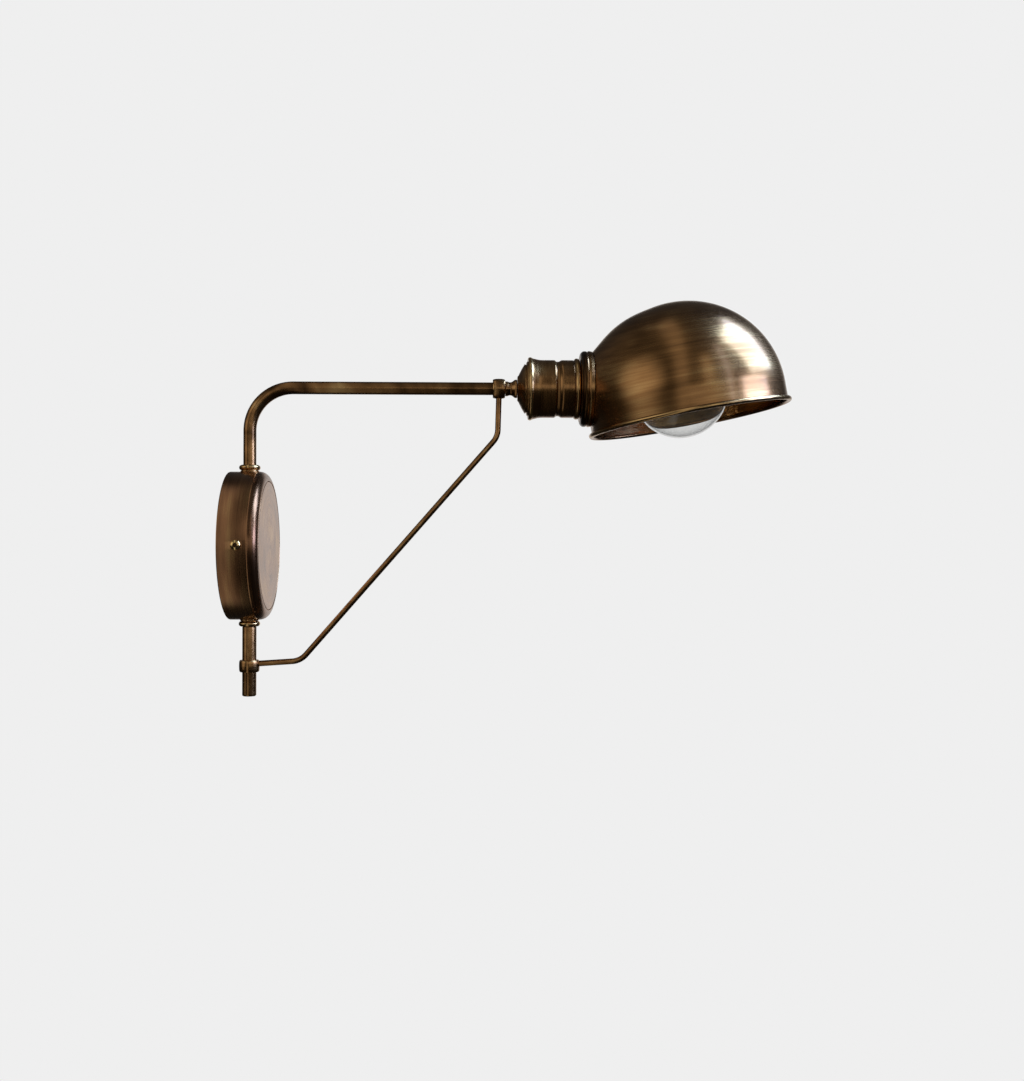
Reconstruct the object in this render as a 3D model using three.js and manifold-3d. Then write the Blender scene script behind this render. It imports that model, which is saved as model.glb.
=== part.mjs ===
// Swing arm wall sconce in aged brass: a round canopy on the wall, a bent arm tube that swings in it,
// a thin strut below the arm, and a turned socket that swivels on the arm's end and carries an offset
// dome shade and a globe bulb.
//
// Millimetres. The origin lies on the wall, in the middle of the canopy. +X points off the wall, +Z up.
// Three nested groups follow the moving bodies: the canopy, the arm on the pivot axis, the head on the arm.
import * as THREE from "three";
import { mergeVertices } from "three/addons/utils/BufferGeometryUtils.js";
import Module from "manifold-3d";

const wasm = await Module();
wasm.setup();

// ---------------------------------------------------------------- driving dimensions
const gap = 0.3; // clearance between pieces that touch or run on each other
const through = 1; // how far a cutting tool runs past the face that it cuts

// canopy, a round drum on the wall
const canopyRadius = 60;
const canopyDepth = 31;
const canopyWall = 1.4;
const canopyFillet = 7;
const facePlateThickness = 1.3;
const facePlateLip = 0.5; // flat rim of the drum left outside the face plate
const facePlateChamfer = 0.4;
const ledgeWidth = 8; // ring inside the drum that the face plate rests on
const pivotFromWall = 15;

// wall bracket, terminals and screws inside the canopy
const bracketThickness = 2;
const bracketHalfWidth = 9;
const bracketClearance = 1.2; // bracket end to the drum's inside
const tabDepth = 22;
const tabHalfWidth = 8;
const wallSlotSpacing = 76; // middle to middle of the two wall screw slots
const wallSlotLength = 16;
const wallSlotWidth = 4.8;
const terminalSize = { x: 11, y: 18, z: 24 };
const terminalFromAxis = 14;
const terminalPitch = 5.6;
const leadBend = 4; // bend of the lead that leaves the terminals
const terminalBore = 1.5;
const terminalScrewRadius = 1.6;
const terminalWell = 5;
const earthFromAxis = 20;
const screwRadius = 2; // M4
const buttonHeadRadius = 4.1;
const buttonHeadHeight = 2.3;
const canopyScrewLength = 9;
const grubLength = 4.6;
const smallGrubRadius = 1.5; // M3, in the upper collar

// arm tube and its bearing in the canopy
const tubeRadius = 5.2;
const tubeWall = 1.2;
const sleeveWall = 1.3;
const sleeveShoulder = 20; // height of the inner shoulders that carry the arm and the post
const sleeveWebBore = 3.6;
const sleeveWindowAir = 1.2; // room beside the cable in the sleeve's window
const sleeveThread = 2.1; // stretch of the sleeve that the cap screws onto
const washerThickness = 1;
const nutThickness = 3.6;
const nutWall = 3.6; // thread to hexagon corner, less the facets
const capHeight = 5;
const capProud = 1.5; // cap radius beyond the sleeve
const capStandOff = 0.7; // cap above the drum
const capRounding = 1;
const capBulge = 0.9;
const armHeight = 128.6;
const armBend = 35;
const armReach = 207.6; // pivot axis to the outer face of the upper collar
const cableClearance = 0.6; // cable to the nipple's bore
const cablePastFloor = 4; // end of the arm's cable beyond the socket cap's floor

// post and strut
const postRadius = 5.65;
const postEnd = 122; // canopy middle down to the post's end
const postChamfer = 0.7;
const ringWall = 2.25;
const ringHeight = 9.8;
const ringDrop = 97.6;
const rodRadius = 2.33;
const rodAboveRing = 1.8; // rod axis above the lower ring's middle
const kneeReach = 41.3; // lower bend, out from the pivot axis
const kneeRise = 2.2;
const elbowBack = 1; // upper bend, back from the collar's middle
const elbowDrop = 39.3; // upper bend, below the arm's axis
const rodBend = 16;
const collarWall = 2.75;
const collarLength = 10;
const edgeChamfer = 0.6;
const fineChamfer = 0.15; // on washers, the nipple and the screw shell

// swivel at the end of the arm
const nippleWall = 0.9;
const nippleInTube = 14;
const neckLength = 9.5;
const neckBackRadius = 6.1;
const neckWaistRadius = 4.9; // pull of the waist's curve
const neckRim = 1.4;
const neckFrontRadius = 7.6;
const capFloor = 6; // solid nose of the socket cap round the nipple
const nipplePlay = 3.3; // friction washer beyond the nipple
const nippleNutThickness = 3.5;

// bulb, an E27 globe
const bulbRadius = 40;
const bulbBaseToCentre = 79;
const bulbCapRadius = 13.2;
const bulbCapLength = 24;
const bulbCapWall = 0.5;
const bulbGlassWall = 1;
const bulbContactRadius = 4.4;
const bulbContactHeight = 1;
const bulbInsulatorThickness = 2.6;
const bulbBehindSeat = 6.5; // bulb's contact behind the shade's seat
const bulbStemFromCentre = 24;
const bulbStemRadius = 3;
const filamentSpread = 13; // half the distance between the support wires' tips
const filamentRadius = 0.5;
const supportWireRadius = 0.35;

// lampholder and its turned covers, back to front along the head's axis
const screwShellWall = 0.5;
const lampholderWall = 5.2;
const lampholderLength = 54;
const lampholderPastSeat = 17.8;
const lampholderContactRoom = 3; // lampholder's floor behind the bulb's contact
const cupAir = 2.85; // lampholder to the inside of the cup
const cupWall = 1.2;
const socketCapNose = 9.8;
const socketCapLength = 14.9;
const socketCapBead = 2.25; // bead's outside beyond the cup
const socketCapBeadRadius = 2.6;
const socketCapRim = 1.8; // stretch in front of the bead
const socketCapSpigot = 3.5;
const socketCupLength = 16.4;
const socketSkirtLength = 18.7;
const socketSkirtBead = 1.45;
const socketSkirtBeadRadius = 2.2;
const socketGroove = 3.5; // tapered stretch behind the skirt
const socketEdge = 0.6; // taper of the cup's and the skirt's edges
const galleryLength = 10.3;
const galleryProud = 7.5; // gallery radius beyond the cup
const galleryWall = 1.5;
const galleryRounding = 5;
const galleryLip = 0.1; // front lip beyond the round side
const ringNutWall = 5.2;
const ringNutLength = 5;

// shade, an offset dome
const shadeRadius = 81;
const shadeWall = 1.2;
const shadeSkirt = 14.8;
const shadeTilt = THREE.MathUtils.degToRad(10.2);
const shadeBead = 2;
const shadeBeadProud = 0.75; // bead's middle beyond the dome's outer face
const shadeSeatSink = 3.4; // depth that the flat seat takes off the dome
const shadeDrop = 9.1; // dome centre below the head's axis
const neckInset = 1.05; // neck's small end inside the gallery radius
const neckSteepAngle = THREE.MathUtils.degToRad(48); // cone next to the seat
const neckSteepRun = 8;
const neckGentleAngle = THREE.MathUtils.degToRad(37.5); // cone that meets the dome
const neckGentleRun = 16;

// ---------------------------------------------------------------- sizes that follow from them
const sleeveBore = tubeRadius + gap;
const sleeveRadius = sleeveBore + sleeveWall;
const canopyInner = canopyRadius - canopyWall;
const capFrom = canopyRadius + capStandOff;
const sleeveEnd = capFrom + sleeveThread;
const grubHeights = [2 * sleeveShoulder, -2 * sleeveShoulder];
const facePlateRadius = canopyRadius - canopyFillet - facePlateLip - gap;
const ledgeFront = canopyDepth - facePlateThickness - gap;
const nutRadius = sleeveRadius + gap + nutWall;
const ringBore = postRadius + gap;
const ringRadius = ringBore + ringWall;
const collarRadius = tubeRadius + gap + collarWall;
const nippleRadius = tubeRadius - tubeWall - gap;
const cableRadius = nippleRadius - nippleWall - cableClearance;
const headStart = armReach + gap + neckLength + gap;
const screwShellBore = bulbCapRadius + gap;
const lampholderCavity = screwShellBore + screwShellWall + gap;
const lampholderRadius = lampholderCavity + lampholderWall;
const cupRadius = lampholderRadius + cupAir + cupWall;
const cupStart = socketCapLength + gap;
const skirtStart = cupStart + socketCupLength + gap;
const galleryStart = skirtStart + socketSkirtLength + gap;
const seatX = galleryStart + galleryLength + gap;
const galleryRadius = cupRadius + galleryProud;
const lampholderFront = seatX + lampholderPastSeat;
const lampholderBack = lampholderFront - lampholderLength;
const bulbBase = seatX - bulbBehindSeat;
const bulbCentre = bulbBase + bulbBaseToCentre;
const domeX = seatX + shadeRadius - shadeSeatSink;

// ---------------------------------------------------------------- solids
/** Closed three.js geometry to a manifold solid: positions only, vertices merged, slivers left out. */
function toSolid(geometry) {
  const bare = geometry.clone();
  bare.deleteAttribute("normal");
  bare.deleteAttribute("uv");
  const merged = mergeVertices(bare);
  const corners = [];
  for (let i = 0; i < merged.index.count; i += 3) {
    const [a, b, c] = [merged.index.getX(i), merged.index.getX(i + 1), merged.index.getX(i + 2)];
    if (a !== b && b !== c && c !== a) corners.push(a, b, c);
  }
  const vertProperties = Float32Array.from(merged.attributes.position.array);
  const triVerts = Uint32Array.from(corners);
  return new wasm.Manifold(new wasm.Mesh({ numProp: 3, vertProperties, triVerts }));
}

/** Manifold solid back to a three.js geometry. */
function toGeometry(solid) {
  const mesh = solid.getMesh();
  const geometry = new THREE.BufferGeometry();
  const positions = Float32Array.from(mesh.vertProperties);
  geometry.setAttribute("position", new THREE.BufferAttribute(positions, 3));
  geometry.setIndex(new THREE.BufferAttribute(Uint32Array.from(mesh.triVerts), 1));
  return geometry;
}

/** One geometry less others. */
function cut(geometry, ...tools) {
  return toGeometry(tools.reduce((solid, tool) => solid.subtract(toSolid(tool)), toSolid(geometry)));
}

/** Several geometries joined into one. */
function join(geometry, ...others) {
  return toGeometry(others.reduce((solid, other) => solid.add(toSolid(other)), toSolid(geometry)));
}

/** Profile points [radius, station] turned round the Z axis, outline in either direction. */
function turnedZ(profile, sides) {
  const ring = [...profile, profile[0]];
  const area = profile.reduce((sum, [r, s], i) => sum + r * ring[i + 1][1] - ring[i + 1][0] * s, 0);
  const ordered = area > 0 ? profile : [...profile].reverse();
  const onAxis = ordered.findIndex(([r], i) => r === 0 && ordered.at(i - 1)[0] === 0);
  const fromAxis = () => [...ordered.slice(onAxis), ...ordered.slice(0, onAxis)];
  const outline = onAxis < 0 ? [...ordered, ordered[0]] : fromAxis();
  const points = outline.map(([r, s]) => new THREE.Vector2(r, s));
  return new THREE.LatheGeometry(points, sides).rotateX(Math.PI / 2);
}

/** The same round the X axis. */
function turnedX(profile, sides) {
  return turnedZ(profile, sides).rotateY(Math.PI / 2);
}

/** Points of an arc in a profile, from one angle to another, in degrees from the radius direction. */
function arc(radius, station, size, from, to, steps) {
  return Array.from({ length: steps + 1 }, (_, i) => {
    const angle = THREE.MathUtils.degToRad(from + ((to - from) * i) / steps);
    return [radius + size * Math.cos(angle), station + size * Math.sin(angle)];
  });
}

/** Points of a curve in a profile from start to end, pulled towards one control point. */
function curve(start, pull, end, steps) {
  const corners = [start, pull, end].map(([r, s]) => new THREE.Vector2(r, s));
  const line = new THREE.QuadraticBezierCurve(...corners);
  return line.getPoints(steps).map((point) => [point.x, point.y]);
}

/** Plain disc, rod or hole tool from one station to another. */
function roundBar(radius, from, to, sides, turned = turnedZ) {
  return turned([[0, from], [radius, from], [radius, to], [0, to]], sides);
}

/** Ring or tube with both end edges chamfered outside. */
function chamferedRing(bore, radius, from, to, chamfer, sides, turned) {
  const back = [[bore, from], [radius - chamfer, from], [radius, from + chamfer]];
  const front = [[radius, to - chamfer], [radius - chamfer, to], [bore, to]];
  return turned([...back, ...front], sides);
}

/** Regular polygon with a radius to its corners, as shape points. */
function polygon(radius, sides, turn = 0) {
  return Array.from({ length: sides }, (_, i) => {
    const angle = turn + (2 * Math.PI * i) / sides;
    return new THREE.Vector2(radius * Math.cos(angle), radius * Math.sin(angle));
  });
}

/** Hexagon nut round the Z axis. */
function hexNut(bore, cornerRadius, from, thickness) {
  const shape = new THREE.Shape(polygon(cornerRadius, 6));
  shape.holes.push(new THREE.Path(polygon(bore, 16)));
  const nut = new THREE.ExtrudeGeometry(shape, { depth: thickness, bevelEnabled: false });
  return nut.translate(0, 0, from);
}

/** Line of straight runs joined by round bends in the XZ plane, with stations only where it bends. */
class BentLine extends THREE.Curve {
  constructor(corners, bend, bendSteps) {
    super();
    this.points = [corners[0]];
    this.tangents = [corners[1].clone().sub(corners[0]).normalize()];
    for (let i = 1; i < corners.length - 1; i += 1) {
      this.addBend(...corners.slice(i - 1, i + 2), bend, bendSteps);
    }
    this.points.push(corners.at(-1));
    this.tangents.push(corners.at(-1).clone().sub(corners.at(-2)).normalize());
  }

  addBend(before, corner, after, bend, steps) {
    const arriving = corner.clone().sub(before).normalize();
    const leaving = after.clone().sub(corner).normalize();
    const turn = arriving.angleTo(leaving);
    const middle = leaving.clone().sub(arriving).normalize();
    middle.multiplyScalar(bend / Math.cos(turn / 2)).add(corner);
    const axis = arriving.clone().cross(leaving).normalize();
    const first = corner.clone().addScaledVector(arriving, -bend * Math.tan(turn / 2)).sub(middle);
    for (let i = 0; i <= steps; i += 1) {
      const angle = (turn * i) / steps;
      this.points.push(first.clone().applyAxisAngle(axis, angle).add(middle));
      this.tangents.push(arriving.clone().applyAxisAngle(axis, angle));
    }
  }

  get steps() {
    return this.points.length - 1;
  }

  getPointAt(u) {
    return this.points[Math.round(u * this.steps)].clone();
  }

  getTangentAt(u) {
    return this.tangents[Math.round(u * this.steps)].clone();
  }
}

/** Round bar, or tube if it has a bore, along a bent line. */
function bentTube(corners, bend, radius, bore, sides, bendSteps) {
  const line = new BentLine(corners.map(([x, y, z]) => new THREE.Vector3(x, y, z)), bend, bendSteps);
  const shape = new THREE.Shape(polygon(radius, sides));
  if (bore > 0) shape.holes.push(new THREE.Path(polygon(bore, sides)));
  return new THREE.ExtrudeGeometry(shape, { steps: line.steps, extrudePath: line, bevelEnabled: false });
}

/** Button head screw along Z: the seat at 0, the shank below, a hexagon socket in the head. */
function buttonScrew(headRadius, headHeight, shankRadius, shankLength) {
  const dome = arc(0, 0, 1, 15, 75, 2).map(([r, s]) => [r * headRadius, s * headHeight]);
  const shank = [[0, -shankLength], [shankRadius, -shankLength], [shankRadius, 0]];
  const body = turnedZ([...shank, [headRadius, 0], ...dome, [0, headHeight]], 14);
  const socketDepth = headHeight * 0.6;
  const socket = new THREE.ExtrudeGeometry(new THREE.Shape(polygon(headRadius * 0.36, 6)), {
    depth: socketDepth + through,
    bevelEnabled: false,
  });
  return cut(body, socket.translate(0, 0, headHeight - socketDepth));
}

/** Small headless or cheese head screw along Z with a driver slot in its top, from 0 up. */
function slottedScrew(radius, length) {
  const slot = new THREE.BoxGeometry(radius * 3, radius * 0.4, radius);
  return cut(roundBar(radius, 0, length, 12), slot.translate(0, 0, length));
}

/** Shape drawn in the YZ plane and pushed along +X. */
function plateX(shape, from, thickness) {
  const plate = new THREE.ExtrudeGeometry(shape, { depth: thickness, bevelEnabled: false });
  const axes = [new THREE.Vector3(0, 1, 0), new THREE.Vector3(0, 0, 1), new THREE.Vector3(1, 0, 0)];
  return plate.applyMatrix4(new THREE.Matrix4().makeBasis(...axes)).translate(from, 0, 0);
}

/** Box between two corners. */
function block([x0, y0, z0], [x1, y1, z1]) {
  const box = new THREE.BoxGeometry(x1 - x0, y1 - y0, z1 - z0);
  return box.translate((x0 + x1) / 2, (y0 + y1) / 2, (z0 + z1) / 2);
}

// ---------------------------------------------------------------- materials
/** One material for one mesh. */
function metal(color, roughness, metalness = 1) {
  return () => new THREE.MeshStandardMaterial({ color, roughness, metalness });
}
const agedBrass = metal(0x5a4126, 0.34);
const dullBrass = metal(0x8a6a35, 0.42);
const brightBrass = metal(0xb8944a, 0.3);
const zincSteel = metal(0xa7a9ac, 0.4);
const nickel = metal(0xb9bbbd, 0.3);
const blackPhenolic = metal(0x18181a, 0.5, 0);
const whitePlastic = metal(0xe4e2da, 0.5, 0);
const blackCable = metal(0x202022, 0.6, 0);
const clearGlass = metal(0xe8ecec, 0.05, 0);
const filamentWire = metal(0x9a9186, 0.4);

const sconce = new THREE.Group();
const arm = new THREE.Group();
const head = new THREE.Group();
sconce.add(arm);
arm.add(head);
arm.position.x = pivotFromWall;
head.position.set(headStart, 0, armHeight);

/** Puts a named mesh in a group. */
function piece(group, name, material, geometry) {
  const mesh = new THREE.Mesh(geometry, material());
  mesh.name = name;
  group.add(mesh);
  return mesh;
}

// ---------------------------------------------------------------- canopy
/** Strap on the wall with two bent tabs that the canopy's side screws thread into. */
function wallBracket() {
  const reach = canopyInner - bracketClearance;
  const strap = new THREE.Shape();
  strap.moveTo(-reach, -bracketHalfWidth).lineTo(reach, -bracketHalfWidth);
  strap.lineTo(reach, bracketHalfWidth).lineTo(-reach, bracketHalfWidth);
  const straightHalf = (wallSlotLength - wallSlotWidth) / 2;
  for (const side of [-1, 1]) {
    const slot = new THREE.Path();
    const middle = (side * wallSlotSpacing) / 2;
    slot.absarc(middle + straightHalf, 0, wallSlotWidth / 2, -Math.PI / 2, Math.PI / 2);
    slot.absarc(middle - straightHalf, 0, wallSlotWidth / 2, Math.PI / 2, (3 * Math.PI) / 2);
    strap.holes.push(slot);
  }
  const plate = plateX(strap, 0, bracketThickness);
  const tabs = [-1, 1].map((side) => {
    const [near, far] = [reach - bracketThickness, reach].map((y) => y * side).sort((a, b) => a - b);
    return block([0, near, -tabHalfWidth], [tabDepth, far, tabHalfWidth]);
  });
  const threads = roundBar(screwRadius + gap, -reach - through, reach + through, 12).rotateX(Math.PI / 2);
  const earth = roundBar(screwRadius + gap, -through, bracketThickness + through, 12, turnedX);
  threads.translate(pivotFromWall, 0, 0);
  return cut(join(plate, ...tabs), threads, earth.translate(0, -earthFromAxis, 0));
}

/** Spun drum with a rounded front edge and a ledge for the face plate. */
function canopyShell() {
  const flatRadius = canopyRadius - canopyFillet;
  const ledgeBore = facePlateRadius - ledgeWidth;
  const innerFillet = arc(flatRadius, canopyDepth - canopyFillet, canopyFillet - canopyWall, 0, 65, 2);
  const outer = arc(flatRadius, canopyDepth - canopyFillet, canopyFillet, 0, 90, 4);
  const recessRadius = facePlateRadius + gap;
  const recess = [[recessRadius, canopyDepth], [recessRadius, ledgeFront], [ledgeBore, ledgeFront]];
  const inside = [[ledgeBore, ledgeFront - canopyWall], ...innerFillet.reverse(), [canopyInner, 0]];
  const shell = turnedX([[canopyRadius, 0], ...outer, ...recess, ...inside], 48);
  const sleeveHole = roundBar(sleeveRadius + gap, -canopyRadius - through, canopyRadius + through, 20);
  const screwHole = roundBar(screwRadius + gap, -canopyRadius - through, canopyRadius + through, 12);
  screwHole.rotateX(Math.PI / 2).translate(pivotFromWall, 0, 0);
  return cut(shell, sleeveHole.translate(pivotFromWall, 0, 0), screwHole);
}

/** Bearing tube through the drum: bores for the arm above and the post below, a cable window between. */
function pivotSleeve() {
  const bores = [[sleeveBore, -sleeveEnd], [sleeveBore, -sleeveShoulder], [sleeveWebBore, -sleeveShoulder]];
  const upperBores = bores.map(([r, z]) => [r, -z]);
  const inside = [...upperBores, ...bores.reverse()];
  const body = turnedZ([[sleeveRadius, -sleeveEnd], [sleeveRadius, sleeveEnd], ...inside], 20);
  const windowHalf = cableRadius + sleeveWindowAir;
  const windowTop = sleeveShoulder / 2;
  const window = block([-windowHalf, 0, -windowTop], [windowHalf, sleeveRadius + through, windowTop]);
  const grubHoles = grubHeights.map((height) =>
    roundBar(screwRadius + gap, 0, sleeveRadius + through, 12, turnedX).translate(0, 0, height),
  );
  return cut(body, window, ...grubHoles);
}

/** Rounded cap nut on the sleeve's end. */
function sleeveCap() {
  const radius = sleeveRadius + capProud;
  const top = capFrom + capHeight;
  const edge = radius - capRounding;
  const bulge = curve([edge, capFrom], [radius + capBulge, (capFrom + top) / 2], [edge, top], 4);
  const threadRadius = sleeveRadius + gap;
  const inside = [[sleeveBore, top], [sleeveBore, sleeveEnd + gap], [threadRadius, sleeveEnd + gap]];
  return turnedZ([...bulge, ...inside, [threadRadius, capFrom]], 20);
}

/** Post below the canopy: a spigot in the sleeve, a shoulder under the cap and a plain end. */
function lowerPost() {
  const shoulder = -(capFrom + capHeight + gap);
  const top = -(sleeveShoulder + gap);
  const spigot = [[0, top], [tubeRadius, top], [tubeRadius, shoulder], [postRadius, shoulder]];
  const end = [[postRadius, postChamfer - postEnd], [postRadius - postChamfer, -postEnd], [0, -postEnd]];
  return turnedZ([...spigot, ...end], 20);
}

/** Places of the terminal block's three ways across the block. */
function terminalWays() {
  return [-1, 0, 1].map((way) => way * terminalPitch);
}

/** Three-way connector block: wire bores along Z and a screw well over each. */
function terminalBlock() {
  const { x, y, z } = terminalSize;
  const body = block([0, -y / 2, -z / 2], [x, y / 2, z / 2]);
  const bores = terminalWays().map((way) =>
    roundBar(terminalBore, -z / 2 - through, z / 2 + through, 10).translate(x / 3, way, 0),
  );
  const wells = terminalWays().map((way) =>
    roundBar(terminalScrewRadius + gap, x - terminalWell, x + through, 12, turnedX).translate(0, way, 0),
  );
  return cut(body, ...bores, ...wells);
}

function buildCanopy() {
  piece(sconce, "wall_bracket", zincSteel, wallBracket());
  piece(sconce, "canopy_shell", agedBrass, canopyShell());
  const plateBack = canopyDepth - facePlateThickness;
  const plateEdge = [[facePlateRadius, plateBack], [facePlateRadius, canopyDepth - facePlateChamfer]];
  const plateFace = [[facePlateRadius - facePlateChamfer, canopyDepth], [0, canopyDepth]];
  const facePlate = turnedX([[0, plateBack], ...plateEdge, ...plateFace], 48);
  piece(sconce, "canopy_face_plate", agedBrass, facePlate);
  const screw = buttonScrew(buttonHeadRadius, buttonHeadHeight, screwRadius, canopyScrewLength);
  for (const [name, turn] of [["canopy_screw_near", Math.PI / 2], ["canopy_screw_far", -Math.PI / 2]]) {
    const mesh = piece(sconce, name, brightBrass, screw.clone());
    mesh.rotation.x = turn;
    mesh.position.set(pivotFromWall, -Math.sign(turn) * (canopyRadius + gap), 0);
  }

  const bearing = new THREE.Group();
  bearing.position.x = pivotFromWall;
  sconce.add(bearing);
  piece(bearing, "pivot_sleeve", dullBrass, pivotSleeve());
  const nutTop = Math.sqrt(canopyInner ** 2 - nutRadius ** 2) - gap;
  const nut = hexNut(sleeveRadius + gap, nutRadius, nutTop - nutThickness, nutThickness);
  const ends = [["top", 0], ["bottom", Math.PI]];
  for (const [end, turn] of ends) {
    piece(bearing, `sleeve_nut_${end}`, dullBrass, nut.clone()).rotation.x = turn;
    piece(bearing, `sleeve_cap_${end}`, dullBrass, sleeveCap()).rotation.x = turn;
  }
  piece(bearing, "lower_post", agedBrass, lowerPost());
  const washerBottom = sleeveShoulder + gap;
  const washer = [sleeveWebBore + gap, tubeRadius, washerBottom, washerBottom + washerThickness];
  piece(bearing, "thrust_washer", whitePlastic, chamferedRing(...washer, fineChamfer, 16, turnedZ));
  const grub = slottedScrew(screwRadius, grubLength).rotateY(Math.PI / 2);
  ["swing_friction_screw", "post_grub_screw"].forEach((name, i) => {
    piece(bearing, name, zincSteel, grub.clone()).position.set(tubeRadius + gap, 0, grubHeights[i]);
  });

  const terminals = new THREE.Group();
  terminals.position.set(bracketThickness + gap, terminalFromAxis + terminalSize.y / 2, 0);
  sconce.add(terminals);
  piece(terminals, "terminal_block", whitePlastic, terminalBlock());
  const terminalScrew = slottedScrew(terminalScrewRadius, terminalWell - 1).rotateY(Math.PI / 2);
  terminalWays().forEach((way, i) => {
    const mesh = piece(terminals, `terminal_screw_${i + 1}`, brightBrass, terminalScrew.clone());
    mesh.position.set(terminalSize.x - terminalWell + gap, way, 0);
  });
  const earthScrew = buttonScrew(buttonHeadRadius, buttonHeadHeight, screwRadius, bracketThickness);
  earthScrew.rotateY(Math.PI / 2);
  earthScrew.translate(bracketThickness + gap, -earthFromAxis, 0);
  piece(sconce, "earth_screw", zincSteel, earthScrew);
  const leadCorners = [[0, terminalFromAxis - gap, 0], [0, 0, 0], [0, 0, washerBottom + washerThickness]];
  const lead = bentTube(leadCorners, leadBend, cableRadius, 0, 10, 5);
  piece(bearing, "canopy_lead", blackCable, lead);
}

// ---------------------------------------------------------------- arm
/** Lower ring or upper collar with a socket that the strut rod's end sits in. */
function strutRing(bore, radius, length, sides, turned, socket) {
  return cut(chamferedRing(bore, radius, -length / 2, length / 2, edgeChamfer, sides, turned), socket);
}

function buildArm() {
  const tubeStart = sleeveShoulder + gap + washerThickness + gap;
  const tubeEnd = armReach - gap;
  const tubeCorners = [[0, 0, tubeStart], [0, 0, armHeight], [tubeEnd, 0, armHeight]];
  const tube = bentTube(tubeCorners, armBend, tubeRadius, tubeRadius - tubeWall, 16, 9);
  piece(arm, "arm_tube", agedBrass, tube);
  const cableEnd = headStart + capFloor + cablePastFloor;
  const cableCorners = [[0, 0, tubeStart + 1], [0, 0, armHeight], [cableEnd, 0, armHeight]];
  piece(arm, "arm_cable", blackCable, bentTube(cableCorners, armBend, cableRadius, 0, 10, 8));

  const rodHeight = -ringDrop + rodAboveRing;
  const ringSocket = roundBar(rodRadius + gap, ringBore - through, ringRadius + through, 12, turnedX);
  ringSocket.translate(0, 0, rodAboveRing);
  const lowerRing = strutRing(ringBore, ringRadius, ringHeight, 20, turnedZ, ringSocket);
  piece(arm, "strut_lower_ring", dullBrass, lowerRing).position.z = -ringDrop;
  const collarSocket = roundBar(rodRadius + gap, -collarRadius - through, -tubeRadius, 12);
  const collar = strutRing(tubeRadius + gap, collarRadius, collarLength, 20, turnedX, collarSocket);
  const collarX = armReach - collarLength / 2;
  const grubHole = roundBar(smallGrubRadius + gap, 0, collarRadius + through, 12).rotateX(-Math.PI / 2);
  piece(arm, "strut_upper_collar", dullBrass, cut(collar, grubHole)).position.set(collarX, 0, armHeight);
  const grub = slottedScrew(smallGrubRadius, collarWall - gap).rotateX(-Math.PI / 2);
  piece(arm, "collar_grub_screw", zincSteel, grub).position.set(collarX, tubeRadius + gap, armHeight);
  const rodCorners = [
    [ringBore + gap, 0, rodHeight],
    [kneeReach, 0, rodHeight + kneeRise],
    [collarX - elbowBack, 0, armHeight - elbowDrop],
    [collarX, 0, armHeight - tubeRadius - 2 * gap],
  ];
  piece(arm, "strut_rod", agedBrass, bentTube(rodCorners, rodBend, rodRadius, 0, 12, 5));

  const nippleFrom = armReach - nippleInTube;
  const nippleTo = headStart + capFloor + 3 * gap + washerThickness + nippleNutThickness;
  const nippleSize = [nippleRadius - nippleWall, nippleRadius, nippleFrom, nippleTo];
  const nipple = chamferedRing(...nippleSize, fineChamfer, 14, turnedX);
  piece(arm, "head_nipple", zincSteel, nipple).position.z = armHeight;
  const neckFrom = armReach + gap;
  const neckTo = neckFrom + neckLength;
  const waist = [neckWaistRadius, neckTo - neckLength / 2];
  const flank = curve([neckBackRadius, neckFrom + neckRim], waist, [neckFrontRadius, neckTo - neckRim], 4);
  const neckBore = nippleRadius + gap;
  const neckBack = [[neckBore, neckFrom], [neckBackRadius, neckFrom]];
  const neckFront = [[neckFrontRadius, neckTo], [neckBore, neckTo]];
  const neck = turnedX([...neckBack, ...flank, ...neckFront], 20);
  piece(arm, "swivel_neck", dullBrass, neck).position.z = armHeight;
  const washerFrom = headStart + capFloor + gap;
  const washerSize = [neckBore, nippleRadius + nipplePlay, washerFrom, washerFrom + washerThickness];
  const washer = chamferedRing(...washerSize, fineChamfer, 16, turnedX);
  piece(arm, "friction_washer", zincSteel, washer).position.z = armHeight;
  const nutFrom = washerFrom + washerThickness + gap;
  const nut = hexNut(neckBore, nippleRadius + nipplePlay, 0, nippleNutThickness).rotateY(Math.PI / 2);
  piece(arm, "nipple_nut", dullBrass, nut).position.set(nutFrom, 0, armHeight);
}

// ---------------------------------------------------------------- head
/** Turned cap: a flared nose, a bead round its rim and a spigot that enters the cup. */
function socketCap() {
  const bore = nippleRadius + gap;
  const beadX = socketCapLength - socketCapBeadRadius - socketCapRim;
  const beadMiddle = cupRadius + socketCapBead - socketCapBeadRadius;
  const bead = arc(beadMiddle, beadX, socketCapBeadRadius, -85, 70, 4);
  const flareRadius = cupRadius - socketCapBeadRadius - gap;
  const flareEnd = [flareRadius, beadX - socketCapBeadRadius - 1];
  const flare = curve([socketCapNose + 1, 0.9], [16.5, 3.6], flareEnd, 3);
  const rim = [[cupRadius, socketCapLength - socketCapRim / 2], [cupRadius, socketCapLength]];
  const spigotRadius = cupRadius - cupWall - gap;
  const spigotBore = spigotRadius - cupWall;
  const spigotEnd = socketCapLength + socketCapSpigot;
  const spigot = [[spigotRadius, socketCapLength], [spigotRadius, spigotEnd], [spigotBore, spigotEnd]];
  const inside = [[spigotBore, capFloor + socketCapSpigot], [socketCapNose, capFloor], [bore, capFloor]];
  return turnedX([[bore, 0], [socketCapNose, 0], ...flare, ...bead, ...rim, ...spigot, ...inside], 28);
}

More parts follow.
